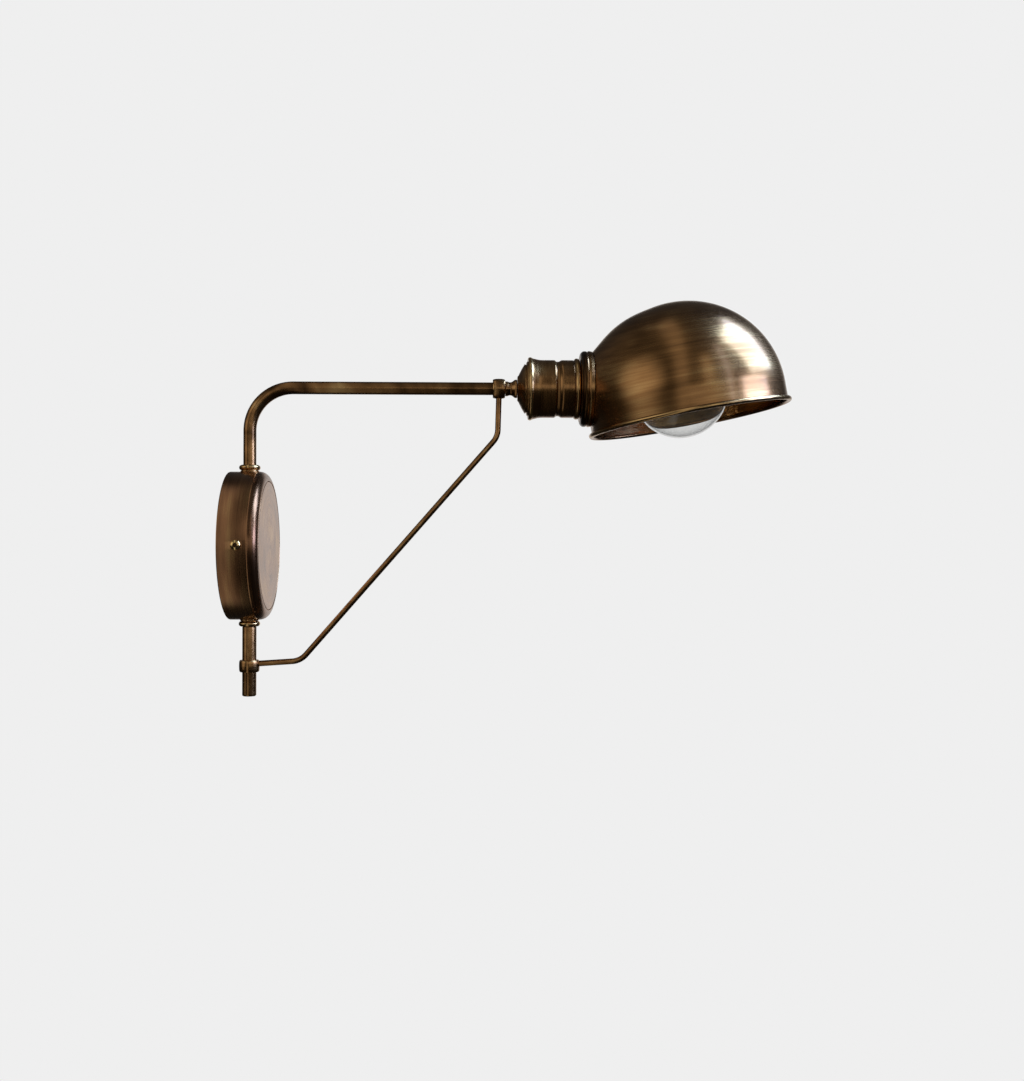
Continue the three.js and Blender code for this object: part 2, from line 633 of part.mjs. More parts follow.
/** Plain turned cup between the cap and the skirt. */
function socketCup() {
  const end = cupStart + socketCupLength;
  const outside = [[cupRadius, cupStart], [cupRadius, end - 2 * socketEdge], [cupRadius - socketEdge, end]];
  return turnedX([...outside, [cupRadius - cupWall, end], [cupRadius - cupWall, cupStart]], 28);
}

/** Turned skirt with a groove behind it and a bead in front. */
function socketSkirt() {
  const end = skirtStart + socketSkirtLength;
  const beadMiddle = cupRadius + socketSkirtBead - socketSkirtBeadRadius;
  const bead = arc(beadMiddle, end - socketSkirtBeadRadius, socketSkirtBeadRadius, -45, 90, 4);
  const inner = cupRadius - cupWall;
  const groove = [[cupRadius - socketEdge, skirtStart], [cupRadius, skirtStart + socketGroove]];
  const beadFoot = [cupRadius, end - 2 * socketSkirtBeadRadius - gap];
  return turnedX([[inner, skirtStart], ...groove, beadFoot, ...bead, [inner, end]], 28);
}

/** Shallow cover that the shade's seat is clamped against. */
function galleryRing() {
  const end = galleryStart + galleryLength;
  const bore = lampholderRadius + gap;
  const side = galleryRadius - galleryLip;
  const roundFrom = [galleryRadius - galleryRounding, galleryStart];
  const shoulder = curve(roundFrom, [side, galleryStart], [side, galleryStart + galleryRounding], 4);
  const lip = [[side, end - 2 * galleryWall], [galleryRadius, end - galleryWall], [galleryRadius, end]];
  const inner = side - galleryWall;
  const inside = [[inner, end], [inner, galleryStart + galleryRounding]];
  const floorTop = galleryStart + galleryWall;
  const floor = [[inner - galleryRounding + galleryWall, floorTop], [bore, floorTop]];
  return turnedX([[bore, galleryStart], ...shoulder, ...lip, ...inside, ...floor], 28);
}

/** Insulating lampholder with a deep socket. */
function lampholderBody() {
  const floor = bulbBase - lampholderContactRoom;
  const back = [[0, lampholderBack], [lampholderRadius, lampholderBack]];
  const front = [[lampholderRadius, lampholderFront], [lampholderCavity, lampholderFront]];
  return turnedX([...back, ...front, [lampholderCavity, floor], [0, floor]], 24);
}

/** Offset dome: hemisphere and short skirt on a tilted axis, a neck to a flat seat, a rolled rim. */
function shade() {
  const sides = 40;
  const tilted = (geometry) => geometry.rotateY(-shadeTilt).translate(domeX, 0, -shadeDrop);
  const crown = (radius) => [...arc(0, 0, radius, 0, 90, 8).slice(0, -1), [0, radius]];
  const bead = arc(shadeRadius + shadeBeadProud, -shadeSkirt, shadeBead, -180, 90, 6);
  const outer = tilted(turnedZ([[0, -shadeSkirt], ...bead, ...crown(shadeRadius)], sides));
  const hollowRadius = shadeRadius - shadeWall;
  const below = -shadeSkirt - shadeBead - through;
  const hollow = tilted(turnedZ([[0, below], [hollowRadius, below], ...crown(hollowRadius)], sides));

  const neckRadius = galleryRadius - neckInset;
  const kneeRadius = neckRadius + neckSteepRun * Math.tan(neckSteepAngle);
  const neckKnee = [kneeRadius, seatX + neckSteepRun];
  const neckTop = seatX + neckSteepRun + neckGentleRun;
  const topRadius = kneeRadius + neckGentleRun * Math.tan(neckGentleAngle);
  const neckLine = [[0, seatX], [neckRadius, seatX], neckKnee, [topRadius, neckTop], [0, neckTop]];
  const offset = shadeWall / Math.cos(neckSteepAngle);
  const neckHollowLine = neckLine.map(([r, x]) => [r === 0 ? 0 : r - offset, x]);
  const wide = 4 * shadeRadius;
  const belowRim = tilted(block([-wide, -wide, -wide], [wide, wide, -shadeSkirt]));
  const behindSeat = block([seatX - wide, -wide, -wide], [seatX, wide, wide]);
  const behindHollow = block([seatX - wide, -wide, -wide], [seatX + shadeWall, wide, wide]);
  const hole = roundBar(lampholderRadius + gap, seatX - through, neckTop, 32, turnedX);
  const neck = cut(turnedX(neckLine, 32), belowRim);
  const neckHollow = cut(turnedX(neckHollowLine, 32), belowRim);
  const inside = cut(join(hollow, neckHollow), behindHollow);
  return cut(join(outer, neck), inside, behindSeat, hole);
}

/** Blown globe, open at its neck inside the bulb's cap. */
function bulbGlass() {
  const neckFrom = bulbBase + bulbCapLength;
  const outline = (inset) => {
    const radius = bulbRadius - inset;
    const neckRadius = bulbCapRadius - bulbCapWall - gap - inset;
    const globe = arc(0, bulbCentre, radius, -45, 90, 8).slice(0, -1);
    const cove = curve([neckRadius, neckFrom + 4], [neckRadius + 1.4, neckFrom + 12.5], globe[0], 3);
    return [[neckRadius, neckFrom], ...cove.slice(0, -1), ...globe, [0, bulbCentre + radius]];
  };
  return turnedX([...outline(0), ...outline(bulbGlassWall).reverse()], 24);
}

function buildHead() {
  piece(head, "socket_cap", agedBrass, socketCap());
  piece(head, "socket_cup", agedBrass, socketCup());
  piece(head, "socket_skirt", agedBrass, socketSkirt());
  piece(head, "gallery_ring", dullBrass, galleryRing());
  piece(head, "lampholder_body", blackPhenolic, lampholderBody());
  const shellRing = [screwShellBore, screwShellBore + screwShellWall, bulbBase + 4, lampholderFront - 3];
  const screwShell = chamferedRing(...shellRing, fineChamfer, 20, turnedX);
  piece(head, "lampholder_screw_shell", nickel, screwShell);
  const contact = roundBar(bulbContactRadius - 1, gap - lampholderContactRoom, -gap, 12, turnedX);
  piece(head, "lampholder_contact", brightBrass, contact).position.x = bulbBase;
  const leadFrom = capFloor + cablePastFloor + gap;
  const lead = roundBar(cableRadius, leadFrom, lampholderBack - gap, 10, turnedX);
  piece(head, "lampholder_lead", blackCable, lead);
  const nutBore = lampholderRadius + gap;
  const nutFrom = seatX + shadeWall + gap;
  const nutSize = [nutBore, nutBore + ringNutWall, nutFrom, nutFrom + ringNutLength];
  piece(head, "shade_ring_nut", dullBrass, chamferedRing(...nutSize, edgeChamfer, 24, turnedX));
  piece(head, "shade", agedBrass, shade());
  buildBulb();
}

function buildBulb() {
  const insulatorFront = bulbContactHeight + bulbInsulatorThickness;
  const capBack = bulbBase + insulatorFront + gap;
  const capBore = bulbCapRadius - bulbCapWall;
  const capEnd = bulbBase + bulbCapLength + 3;
  const shoulder = [[6, capBack], [bulbCapRadius - 1.5, capBack], [bulbCapRadius, capBack + 2]];
  const rim = [[bulbCapRadius, capEnd], [capBore, capEnd]];
  const capInside = [[capBore, capBack + 2.4], [capBore - 1.5, capBack + 1], [6, capBack + 1]];
  piece(head, "bulb_cap", nickel, turnedX([...shoulder, ...rim, ...capInside], 20));
  const insulatorBack = [[0, bulbContactHeight], [bulbContactRadius + 1, bulbContactHeight]];
  const insulatorFace = [[bulbCapRadius - 2.4, insulatorFront], [0, insulatorFront]];
  const insulator = turnedX([...insulatorBack, ...insulatorFace], 20);
  piece(head, "bulb_insulator", blackPhenolic, insulator).position.x = bulbBase;
  const contact = roundBar(bulbContactRadius, 0, bulbContactHeight - gap, 16, turnedX);
  piece(head, "bulb_contact", nickel, contact).position.x = bulbBase;
  piece(head, "bulb_glass", clearGlass, bulbGlass());

  const stemFrom = bulbBase + bulbCapLength;
  const flareRadius = bulbCapRadius - bulbCapWall - bulbGlassWall - 2 * gap;
  const stemEnd = bulbCentre - bulbStemFromCentre;
  const flare = curve([flareRadius, stemFrom], [4, stemFrom + 3], [bulbStemRadius, stemFrom + 12], 4);
  const stemTip = [[bulbStemRadius, stemEnd - 1], [0, stemEnd]];
  piece(head, "bulb_stem", clearGlass, turnedX([[0, stemFrom], ...flare, ...stemTip], 16));
  buildFilament(stemEnd);
}

/** Two support wires beside the stem and the bent filament between their tips. */
function buildFilament(stemEnd) {
  const foot = bulbStemRadius + supportWireRadius + gap;
  for (const [name, side] of [["bulb_wire_left", 1], ["bulb_wire_right", -1]]) {
    const tip = [bulbCentre + 2, side * filamentSpread, 0];
    const route = [[stemEnd - 4, side * foot, 0], [stemEnd + 2, side * (foot + 1), 0], tip];
    piece(head, name, filamentWire, bentTube(route, 3, supportWireRadius, 0, 6, 3));
  }
  const inside = filamentSpread - supportWireRadius - filamentRadius - gap;
  const route = [[bulbCentre + 1, inside, 0], [bulbCentre - 14, 0, 0], [bulbCentre + 1, -inside, 0]];
  piece(head, "bulb_filament", filamentWire, bentTube(route, 4, filamentRadius, 0, 8, 6));
}

buildCanopy();
buildArm();
buildHead();

export default sconce;
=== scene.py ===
"""Swing arm wall sconce in aged brass: fine meshes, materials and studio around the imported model.

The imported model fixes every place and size. Each visible piece is rebuilt here with rounded edges and a
finish of its own, and stands for its plain node; what stays hidden keeps its node and gets a finish. Sizes in
the classes are in millimetres, and become metres when a mesh is made.
"""
import logging
import math
from dataclasses import dataclass, field
from enum import Enum
from typing import Callable, Iterable, Sequence

import bmesh
import bpy
import numpy as np
from mathutils import Euler, Matrix, Vector


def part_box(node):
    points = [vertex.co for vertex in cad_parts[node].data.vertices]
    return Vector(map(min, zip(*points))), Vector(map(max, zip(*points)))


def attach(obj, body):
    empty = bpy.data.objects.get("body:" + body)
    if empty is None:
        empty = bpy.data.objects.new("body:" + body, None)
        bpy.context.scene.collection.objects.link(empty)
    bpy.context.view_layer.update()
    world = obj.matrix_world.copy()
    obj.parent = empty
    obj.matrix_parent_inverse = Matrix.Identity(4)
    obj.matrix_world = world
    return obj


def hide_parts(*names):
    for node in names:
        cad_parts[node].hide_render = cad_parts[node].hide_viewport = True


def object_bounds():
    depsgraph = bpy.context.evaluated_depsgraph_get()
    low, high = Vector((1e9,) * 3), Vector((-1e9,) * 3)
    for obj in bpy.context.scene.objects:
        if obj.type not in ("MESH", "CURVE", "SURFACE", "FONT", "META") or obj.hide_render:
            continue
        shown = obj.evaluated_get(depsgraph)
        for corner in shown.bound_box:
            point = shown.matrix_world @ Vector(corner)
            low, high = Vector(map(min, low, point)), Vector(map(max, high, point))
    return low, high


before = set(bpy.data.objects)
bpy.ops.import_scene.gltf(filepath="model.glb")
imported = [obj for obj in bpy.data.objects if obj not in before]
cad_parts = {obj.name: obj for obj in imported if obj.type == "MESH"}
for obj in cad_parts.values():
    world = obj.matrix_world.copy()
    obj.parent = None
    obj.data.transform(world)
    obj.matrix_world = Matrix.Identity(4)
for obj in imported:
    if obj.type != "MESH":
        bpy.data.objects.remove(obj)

LOG = logging.getLogger("sconce")
MM = 0.001
CAD_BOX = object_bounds()
Colour = tuple[float, float, float]


# ---------------------------------------------------------------- node graphs
class Graph:
    """Nodes and links of one node tree, for a material, the world or a geometry modifier."""

    def __init__(self, tree: bpy.types.NodeTree) -> None:
        """Starts with an empty tree."""
        self.tree = tree
        tree.nodes.clear()

    def node(self, kind: str, settings: dict | None = None, inputs: dict | None = None) -> bpy.types.Node:
        """Adds a node.

        Args:
            kind: The node's type name.
            settings: Properties set first, such as an operation; "stops" fills a colour ramp.
            inputs: Values or links by socket name or index.

        Returns:
            The new node.
        """
        made = self.tree.nodes.new(kind)
        for key, value in (settings or {}).items():
            if key == "stops":
                self._fill_ramp(made.color_ramp, value)
            else:
                setattr(made, key, value)
        for key, value in (inputs or {}).items():
            self.feed(made.inputs[key], value)
        return made

    def feed(self, socket: bpy.types.NodeSocket, value: object) -> None:
        """Links a socket to another one, or sets its constant.

        Args:
            socket: The input socket.
            value: A wire or an output socket to link, or a plain value.
        """
        if isinstance(value, Wire):
            self.tree.links.new(value.socket, socket)
        elif isinstance(value, bpy.types.NodeSocket):
            self.tree.links.new(value, socket)
        else:
            socket.default_value = value

    def wire(
        self, kind: str, output: int | str, settings: dict | None = None, inputs: dict | None = None
    ) -> "Wire":
        """Adds a node and returns one of its outputs as a wire."""
        return Wire(self, self.node(kind, settings, inputs).outputs[output])

    @staticmethod
    def _fill_ramp(ramp: bpy.types.ColorRamp, stops: Sequence[tuple[float, Colour]]) -> None:
        """Sets the stops of a colour ramp.

        Args:
            ramp: The ramp.
            stops: Place and colour of each stop, in order.
        """
        while len(ramp.elements) > 1:
            ramp.elements.remove(ramp.elements[-1])
        for index, (place, colour) in enumerate(stops):
            stop = ramp.elements[0] if index == 0 else ramp.elements.new(place)
            stop.position = place
            stop.color = (*colour, 1.0)


class Wire:
    """A number on its way through a shader; arithmetic on it adds Math nodes."""

    def __init__(self, graph: Graph, socket: bpy.types.NodeSocket) -> None:
        """Wraps an output socket."""
        self.graph = graph
        self.socket = socket

    def _math(self, operation: str, *terms: object) -> "Wire":
        """Adds one Math node over the terms."""
        return self.graph.wire("ShaderNodeMath", 0, {"operation": operation}, dict(enumerate(terms)))

    def __add__(self, other: object) -> "Wire":
        """Sum."""
        return self._math("ADD", self, other)

    __radd__ = __add__

    def __mul__(self, other: object) -> "Wire":
        """Product."""
        return self._math("MULTIPLY", self, other)

    __rmul__ = __mul__

    def __sub__(self, other: object) -> "Wire":
        """Difference."""
        return self._math("SUBTRACT", self, other)

    def __rsub__(self, other: object) -> "Wire":
        """Difference from a number."""
        return self._math("SUBTRACT", other, self)

    def __truediv__(self, other: object) -> "Wire":
        """Quotient."""
        return self._math("DIVIDE", self, other)

    def __pow__(self, other: object) -> "Wire":
        """Power."""
        return self._math("POWER", self, other)

    def cosine(self) -> "Wire":
        """Cosine."""
        return self._math("COSINE", self)

    def sine(self) -> "Wire":
        """Sine."""
        return self._math("SINE", self)

    def clamped(self, low: float = 0.0, high: float = 1.0) -> "Wire":
        """Kept between two numbers."""
        return self.graph.wire("ShaderNodeClamp", 0, None, {"Value": self, "Min": low, "Max": high})

    def ranged(self, start: float, end: float) -> "Wire":
        """Zero at the start of a range and one at its end, with a smooth step between."""
        inputs = {"Value": self, "From Min": start, "From Max": end}
        return self.graph.wire("ShaderNodeMapRange", 0, {"interpolation_type": "SMOOTHSTEP"}, inputs)


def scaled(graph: Graph, vector: Wire, scale: float) -> Wire:
    """Vector times a number."""
    return graph.wire("ShaderNodeVectorMath", 0, {"operation": "SCALE"}, {0: vector, "Scale": scale})


def clouds(graph: Graph, place: Wire, scale: float, detail: float) -> Wire:
    """Plain noise over a place."""
    return graph.wire("ShaderNodeTexNoise", 0, None, {"Vector": place, "Scale": scale, "Detail": detail})


def bumps(graph: Graph, height: Wire, strength: float, distance: float) -> Wire:
    """Normal tilted by a height, at a strength and a distance in metres."""
    inputs = {"Strength": strength, "Distance": distance, "Height": height}
    return graph.wire("ShaderNodeBump", 0, None, inputs)


# ---------------------------------------------------------------- where a turned piece's axis lies
@dataclass(frozen=True)
class Axis:
    """Axis of a turned piece: a point on it and the turn that lays the local Z axis along it."""

    origin: tuple[float, float, float] = (0.0, 0.0, 0.0)
    turn: tuple[float, float, float] = (0.0, 0.0, 0.0)

    def matrix(self) -> Matrix:
        """Local millimetres to metres in the frame."""
        place = Matrix.Translation(Vector(self.origin) * MM)
        return place @ Euler(self.turn).to_matrix().to_4x4() @ Matrix.Scale(MM, 4)

    @classmethod
    def along_x(cls, height: float = 0.0) -> "Axis":
        """Axis along +X at a height."""
        return cls((0.0, 0.0, height), (0.0, math.pi / 2, 0.0))

    @classmethod
    def upright(cls, reach: float) -> "Axis":
        """Axis along +Z at a distance from the wall."""
        return cls((reach, 0.0, 0.0))


# ---------------------------------------------------------------- finishes
class Brushing(Enum):
    """Which way a brass surface was brushed."""

    ROUND = "round the turning axis"
    BAR = "in bands along a bar"


@dataclass(frozen=True)
class Streaks:
    """Brushing marks of one size: how close they lie along and round a piece, and their finer detail."""

    scale: float
    detail: float
    round_scale: float = 1.1

    def noise(self, graph: Graph, around: Wire, station: Wire, radius: Wire) -> Wire:
        """Noise that changes along a turned piece and hardly round it.

        Args:
            graph: The material's graph.
            around: Vector round the axis.
            station: Place along the axis.
            radius: Distance from the axis.

        Returns:
            The noise, about a half on average.
        """
        stretched = graph.wire("ShaderNodeCombineXYZ", 0, None, {2: station * self.scale})
        slow = scaled(graph, around, self.round_scale)
        vector = graph.wire("ShaderNodeVectorMath", 0, {"operation": "ADD"}, {0: slow, 1: stretched})
        inputs = {"Vector": vector, "W": radius * self.scale, "Scale": 1.0, "Detail": self.detail}
        return graph.wire("ShaderNodeTexNoise", 0, {"noise_dimensions": "4D"}, inputs)


HAIRLINES = Streaks(scale=1500.0, detail=2.0)
BANDS = Streaks(scale=260.0, detail=3.0)
SWEEPS = Streaks(scale=55.0, detail=2.0)
HAIRLINE_WEIGHT = 0.26
HAIRLINE_DEPTH = 0.05
HAIRLINE_ROUGHNESS = 0.10
BAND_WEIGHT = 0.62
CLOUD_SCALE = 24.0
CLOUD_WEIGHT = 0.55
CLOUD_ROUGHNESS = 0.14
WEAR_AND_LIGHT_WEIGHT = 0.55
WEAR_POLISH = 0.05
BAR_CLOUD_SCALE = 40.0
BAR_STRETCH = 0.3


@dataclass(frozen=True)
class Brass:
    """Brass with a dark chemical patina, worn back with a wheel and lacquered.

    Colours run from the patina in hollows, over the body tone, to the bare metal on worn edges; on some
    pieces the same per-vertex value also carries painted shade and painted highlights. The bias makes the
    whole piece lighter or darker, hairlines scales the finest marks, and patches is how strong the broadest
    ones are.
    """

    name: str
    slot: str
    dark: Colour = (0.060, 0.025, 0.006)
    body: Colour = (0.370, 0.183, 0.062)
    bare: Colour = (0.760, 0.480, 0.190)
    roughness: float = 0.25
    lacquer: float = 0.15
    bias: float = 0.0
    hairlines: float = 1.0
    patches: float = 0.70
    brushing: Brushing = Brushing.ROUND
    axis: Axis = field(default_factory=Axis)

    def material(self) -> bpy.types.Material:
        """Builds the material's nodes.

        Returns:
            The material.
        """
        made = new_material(self.name)
        graph = Graph(made.node_tree)
        place = graph.wire("ShaderNodeTexCoord", "Object")
        local, around, station, radius = self._coordinates(graph, place)
        fine = HAIRLINES.noise(graph, around, station, radius)
        band = BANDS.noise(graph, around, station, radius)
        sweep = SWEEPS.noise(graph, around, station, radius)
        cloud = clouds(graph, local, CLOUD_SCALE, 3.0)
        # The per-vertex value read here holds real rubbing and patina, and on some pieces painted shade and
        # painted highlights; it shifts the tone.
        wear_and_painted_light = graph.wire("ShaderNodeAttribute", "Fac", {"attribute_name": "wear_and_painted_light"})
        tone = 0.5 + (fine - 0.5) * (HAIRLINE_WEIGHT * self.hairlines) + (band - 0.5) * BAND_WEIGHT
        tone = tone + (sweep - 0.5) * self.patches + (cloud - 0.5) * CLOUD_WEIGHT
        tone = (tone + wear_and_painted_light * WEAR_AND_LIGHT_WEIGHT + self.bias).clamped()
        stops = [(0.05, self.dark), (0.5, self.body), (0.95, self.bare)]
        colour = graph.wire("ShaderNodeValToRGB", "Color", {"stops": stops}, {"Fac": tone})
        rough = self.roughness + (fine - 0.5) * HAIRLINE_ROUGHNESS + (cloud - 0.5) * CLOUD_ROUGHNESS
        rough = (rough - wear_and_painted_light * WEAR_POLISH).clamped(0.12, 0.6)
        bump = bumps(graph, fine, HAIRLINE_DEPTH * self.hairlines, 0.00006)
        shade(graph, {
            "Base Color": colour,
            "Metallic": 1.0,
            "Roughness": rough,
            "Coat Weight": self.lacquer,
            "Coat Roughness": 0.13,
            "Coat IOR": 1.5,
            "Normal": bump,
        })
        return made

    def _coordinates(self, graph: Graph, place: Wire) -> tuple[Wire, Wire, Wire, Wire]:
        """Coordinates that follow the brushing.

        Args:
            graph: The material's graph.
            place: Object coordinates.

        Returns:
            Place in the axis's own space, a vector round the axis, the station along it and the radius.
        """
        moved = graph.wire("ShaderNodeMapping", 0, {"vector_type": "TEXTURE"}, {
            "Vector": place,
            "Location": tuple(Vector(self.axis.origin) * MM),
            "Rotation": self.axis.turn,
        })
        if self.brushing is Brushing.BAR:
            along = graph.wire("ShaderNodeAttribute", "Fac", {"attribute_name": "along"})
            return moved, scaled(graph, moved, BAR_CLOUD_SCALE), along * BAR_STRETCH, along * 0.0
        split = graph.node("ShaderNodeSeparateXYZ", None, {0: moved})
        across, depth, station = (Wire(graph, split.outputs[index]) for index in range(3))
        radius = (across * across + depth * depth) ** 0.5
        flat = graph.wire("ShaderNodeCombineXYZ", 0, None, {0: across, 1: depth})
        around = graph.wire("ShaderNodeVectorMath", 0, {"operation": "NORMALIZE"}, {0: flat})
        return moved, around, station, radius


@dataclass(frozen=True)
class PlainMetal:
    """Plated or bare metal with faint mottling."""

    name: str
    slot: str
    colour: Colour
    roughness: float
    mottling: float = 420.0
    hollow: float = 0.72

    def material(self) -> bpy.types.Material:
        """Builds the material's nodes.

        Returns:
            The material.
        """
        made = new_material(self.name)
        graph = Graph(made.node_tree)
        place = graph.wire("ShaderNodeTexCoord", "Object")
        mottle = clouds(graph, place, self.mottling, 3.0)
        stops = [(0.3, tuple(self.hollow * part for part in self.colour)), (0.7, self.colour)]
        colour = graph.wire("ShaderNodeValToRGB", "Color", {"stops": stops}, {"Fac": mottle})
        roughness = self.roughness + (mottle - 0.5) * 0.2
        shade(graph, {"Base Color": colour, "Metallic": 1.0, "Roughness": roughness})
        return made


@dataclass(frozen=True)
class Moulded:
    """Moulded plastic, phenolic or cable sheath with a fine skin."""

    name: str
    slot: str
    colour: Colour
    roughness: float = 0.45
    grain: float = 900.0
    hollow: float = 0.8

    def material(self) -> bpy.types.Material:
        """Builds the material's nodes.

        Returns:
            The material.
        """
        made = new_material(self.name)
        graph = Graph(made.node_tree)
        place = graph.wire("ShaderNodeTexCoord", "Object")
        skin = clouds(graph, place, self.grain, 2.0)
        stops = [(0.25, tuple(self.hollow * part for part in self.colour)), (0.75, self.colour)]
        colour = graph.wire("ShaderNodeValToRGB", "Color", {"stops": stops}, {"Fac": skin})
        roughness = self.roughness + (skin - 0.5) * 0.15
        bump = bumps(graph, skin, 0.15, 0.0001)
        shade(graph, {"Base Color": colour, "Roughness": roughness, "Normal": bump})
        return made


@dataclass(frozen=True)
class BlownGlass:
    """Clear thin glass with a trace of waviness."""

    name: str
    slot: str
    ripple: float = 0.02
    ripple_scale: float = 22.0

    def material(self) -> bpy.types.Material:
        """Builds the material's nodes.

        Returns:
            The material.
        """
        made = new_material(self.name)
        graph = Graph(made.node_tree)
        place = graph.wire("ShaderNodeTexCoord", "Object")
        waves = clouds(graph, place, self.ripple_scale, 1.0)
        bump = bumps(graph, waves, self.ripple, 0.001)
        shade(graph, {
            "Base Color": (0.97, 0.98, 0.98, 1.0),
            "Roughness": 0.0,
            "Transmission Weight": 1.0,
            "IOR": 1.46,
            "Normal": bump,
        })
        return made


Finish = Brass | PlainMetal | Moulded | BlownGlass


def new_material(name: str) -> bpy.types.Material:
    """Empty material with nodes.

    Args:
        name: Its name.

    Returns:
        The material.
    """
    made = bpy.data.materials.new(name)
    made.use_nodes = True
    return made


def shade(graph: Graph, inputs: dict) -> None:
    """Ends a material in one Principled shader."""
    body = graph.node("ShaderNodeBsdfPrincipled", None, inputs)
    graph.node("ShaderNodeOutputMaterial", None, {"Surface": body.outputs[0]})


# ---------------------------------------------------------------- meshes
@dataclass(frozen=True)
class Corner:
    """Corner of a turned outline: radius and station in millimetres, its rounding, and how worn it is, which
    on some pieces is painted shade or a painted highlight instead.
    """

    radius: float
    station: float
    fillet: float = 0.0
    wear_and_painted_light: float = 0.0


Point = tuple[float, float, float]
FILLET_STEP = math.radians(13)
BEND_STEP = math.radians(3)
POLE = 1e-6
SAME_PLACE = 0.00001


def rounded(corners: Sequence[Corner], closed: bool) -> list[Point]:
    """Outline with its corners rounded.

    Args:
        corners: The outline's corners in order.
        closed: Whether the last corner joins the first.

    Returns:
        Points of radius, station and wear_and_painted_light.
    """
    count = len(corners)
    points: list[Point] = []
    for index, corner in enumerate(corners):
        here = Vector((corner.radius, corner.station))
        ends = not closed and index in (0, count - 1)
        if corner.fillet <= 0 or ends:
            points.append((*here, corner.wear_and_painted_light))
            continue
        before = Vector((corners[index - 1].radius, corners[index - 1].station)) - here
        following = corners[(index + 1) % count]
        after = Vector((following.radius, following.station)) - here
        points += bend_points(here, before, after, corner.fillet, corner.wear_and_painted_light)
    return points


def bend_points(here: Vector, before: Vector, after: Vector, fillet: float, wear_and_painted_light: float) -> list[Point]:
    """Arc that rounds one corner, with at most half of each neighbouring side used.

    Args:
        here: The corner.
        before: From the corner to the one before it.
        after: From the corner to the one after it.
        fillet: The wanted radius.
        wear_and_painted_light: How worn the arc's middle is; on some pieces it is painted shade or a painted
            highlight instead.

    Returns:
        Points of radius, station and wear_and_painted_light.
    """
    angle = before.angle(after)
    reach = min(fillet / math.tan(angle / 2), before.length * 0.5, after.length * 0.5)
    radius = reach * math.tan(angle / 2)
    start, end = here + before.normalized() * reach, here + after.normalized() * reach
    middle = here + (before.normalized() + after.normalized()).normalized() * (radius / math.sin(angle / 2))
    turn = (start - middle).angle_signed(end - middle)
    steps = max(2, math.ceil(abs(turn) / FILLET_STEP))
    points = []
    for step in range(steps + 1):
        swing = turn * step / steps
        cosine, sine = math.cos(swing), math.sin(swing)
        arm = start - middle
        points.append((
            middle.x + arm.x * cosine + arm.y * sine,
            middle.y - arm.x * sine + arm.y * cosine,
            wear_and_painted_light * math.sin(math.pi * step / steps) ** 0.5,
        ))
    return points


def arc(
    radius: float, station: float, size: float, start: float, end: float, steps: int, wear_and_painted_light: float = 0.0
) -> list[Corner]:
    """Corners on an arc about a centre, from one angle to another in degrees from the radius direction."""
    angles = (math.radians(start + (end - start) * step / steps) for step in range(steps + 1))
    return [Corner(radius + size * math.cos(a), station + size * math.sin(a), 0.0, wear_and_painted_light) for a in angles]


def linked(name: str, data: bpy.types.ID) -> bpy.types.Object:
    """New object at the origin, linked to the scene.

    Args:
        name: Its name.
        data: Its mesh, light or camera.

    Returns:
        The object.
    """
    made = bpy.data.objects.new(name, data)
    bpy.context.scene.collection.objects.link(made)
    return made


def make_object(
    name: str, vertices: np.ndarray, faces: Iterable[Sequence[int]], wear_and_painted_light: np.ndarray | None = None
) -> bpy.types.Object:
    """Mesh object at the origin with outward faces, smooth shading and a wear_and_painted_light attribute.

    Args:
        name: The piece's name.
        vertices: Places in metres.
        faces: Corner indices.
        wear_and_painted_light: One number for each vertex, or none.

    Returns:
        The object, linked to the scene.
    """
    mesh = bpy.data.meshes.new(name)
    mesh.from_pydata(vertices.tolist(), [], list(faces))
    work = bmesh.new()
    work.from_mesh(mesh)
    bmesh.ops.recalc_face_normals(work, faces=work.faces)
    work.to_mesh(mesh)
    work.free()
    if wear_and_painted_light is not None:
        layer = mesh.attributes.new("wear_and_painted_light", "FLOAT", "POINT")
        layer.data.foreach_set("value", np.asarray(wear_and_painted_light, dtype=np.float32))
    finish_mesh(mesh)
    return linked(name, mesh)


def finish_mesh(mesh: bpy.types.Mesh, sharp: float = 38.0) -> None:
    """Smooth shading with edges sharper than an angle kept crisp.

    Args:
        mesh: The mesh.
        sharp: The angle, in degrees.
    """
    mesh.shade_smooth()
    mesh.set_sharp_from_angle(angle=math.radians(sharp))
    mesh.update()


def turned(name: str, corners: Sequence[Corner], axis: Axis, sides: int = 96) -> bpy.types.Object:
    """Body turned round an axis from an outline that closes on itself, or runs from axis to axis.

    Args:
        name: The piece's name.
        corners: The outline.
        axis: Where the turning axis lies.
        sides: Facets round the axis.

    Returns:
        The new object.
    """
    closed = corners[0].radius > 0
    outline = rounded(corners, closed)
    rows: list[list[int]] = []
    local: list[tuple[float, float, float]] = []
    wear_and_painted_light: list[float] = []
    for radius, station, tone_mark in outline:
        first = len(local)
        if radius < POLE:
            local.append((0.0, 0.0, station))
            wear_and_painted_light.append(tone_mark)
            rows.append([first] * sides)
            continue
        for side in range(sides):
            angle = 2 * math.pi * side / sides
            local.append((radius * math.cos(angle), radius * math.sin(angle), station))
            wear_and_painted_light.append(tone_mark)
        rows.append(list(range(first, first + sides)))
    pairs = list(zip(rows, rows[1:] + rows[:1])) if closed else list(zip(rows, rows[1:]))
    faces = [unique_corners((a[i], a[i - 1], b[i - 1], b[i])) for a, b in pairs for i in range(sides)]
    return make_object(name, placed(local, axis), faces, np.array(wear_and_painted_light))


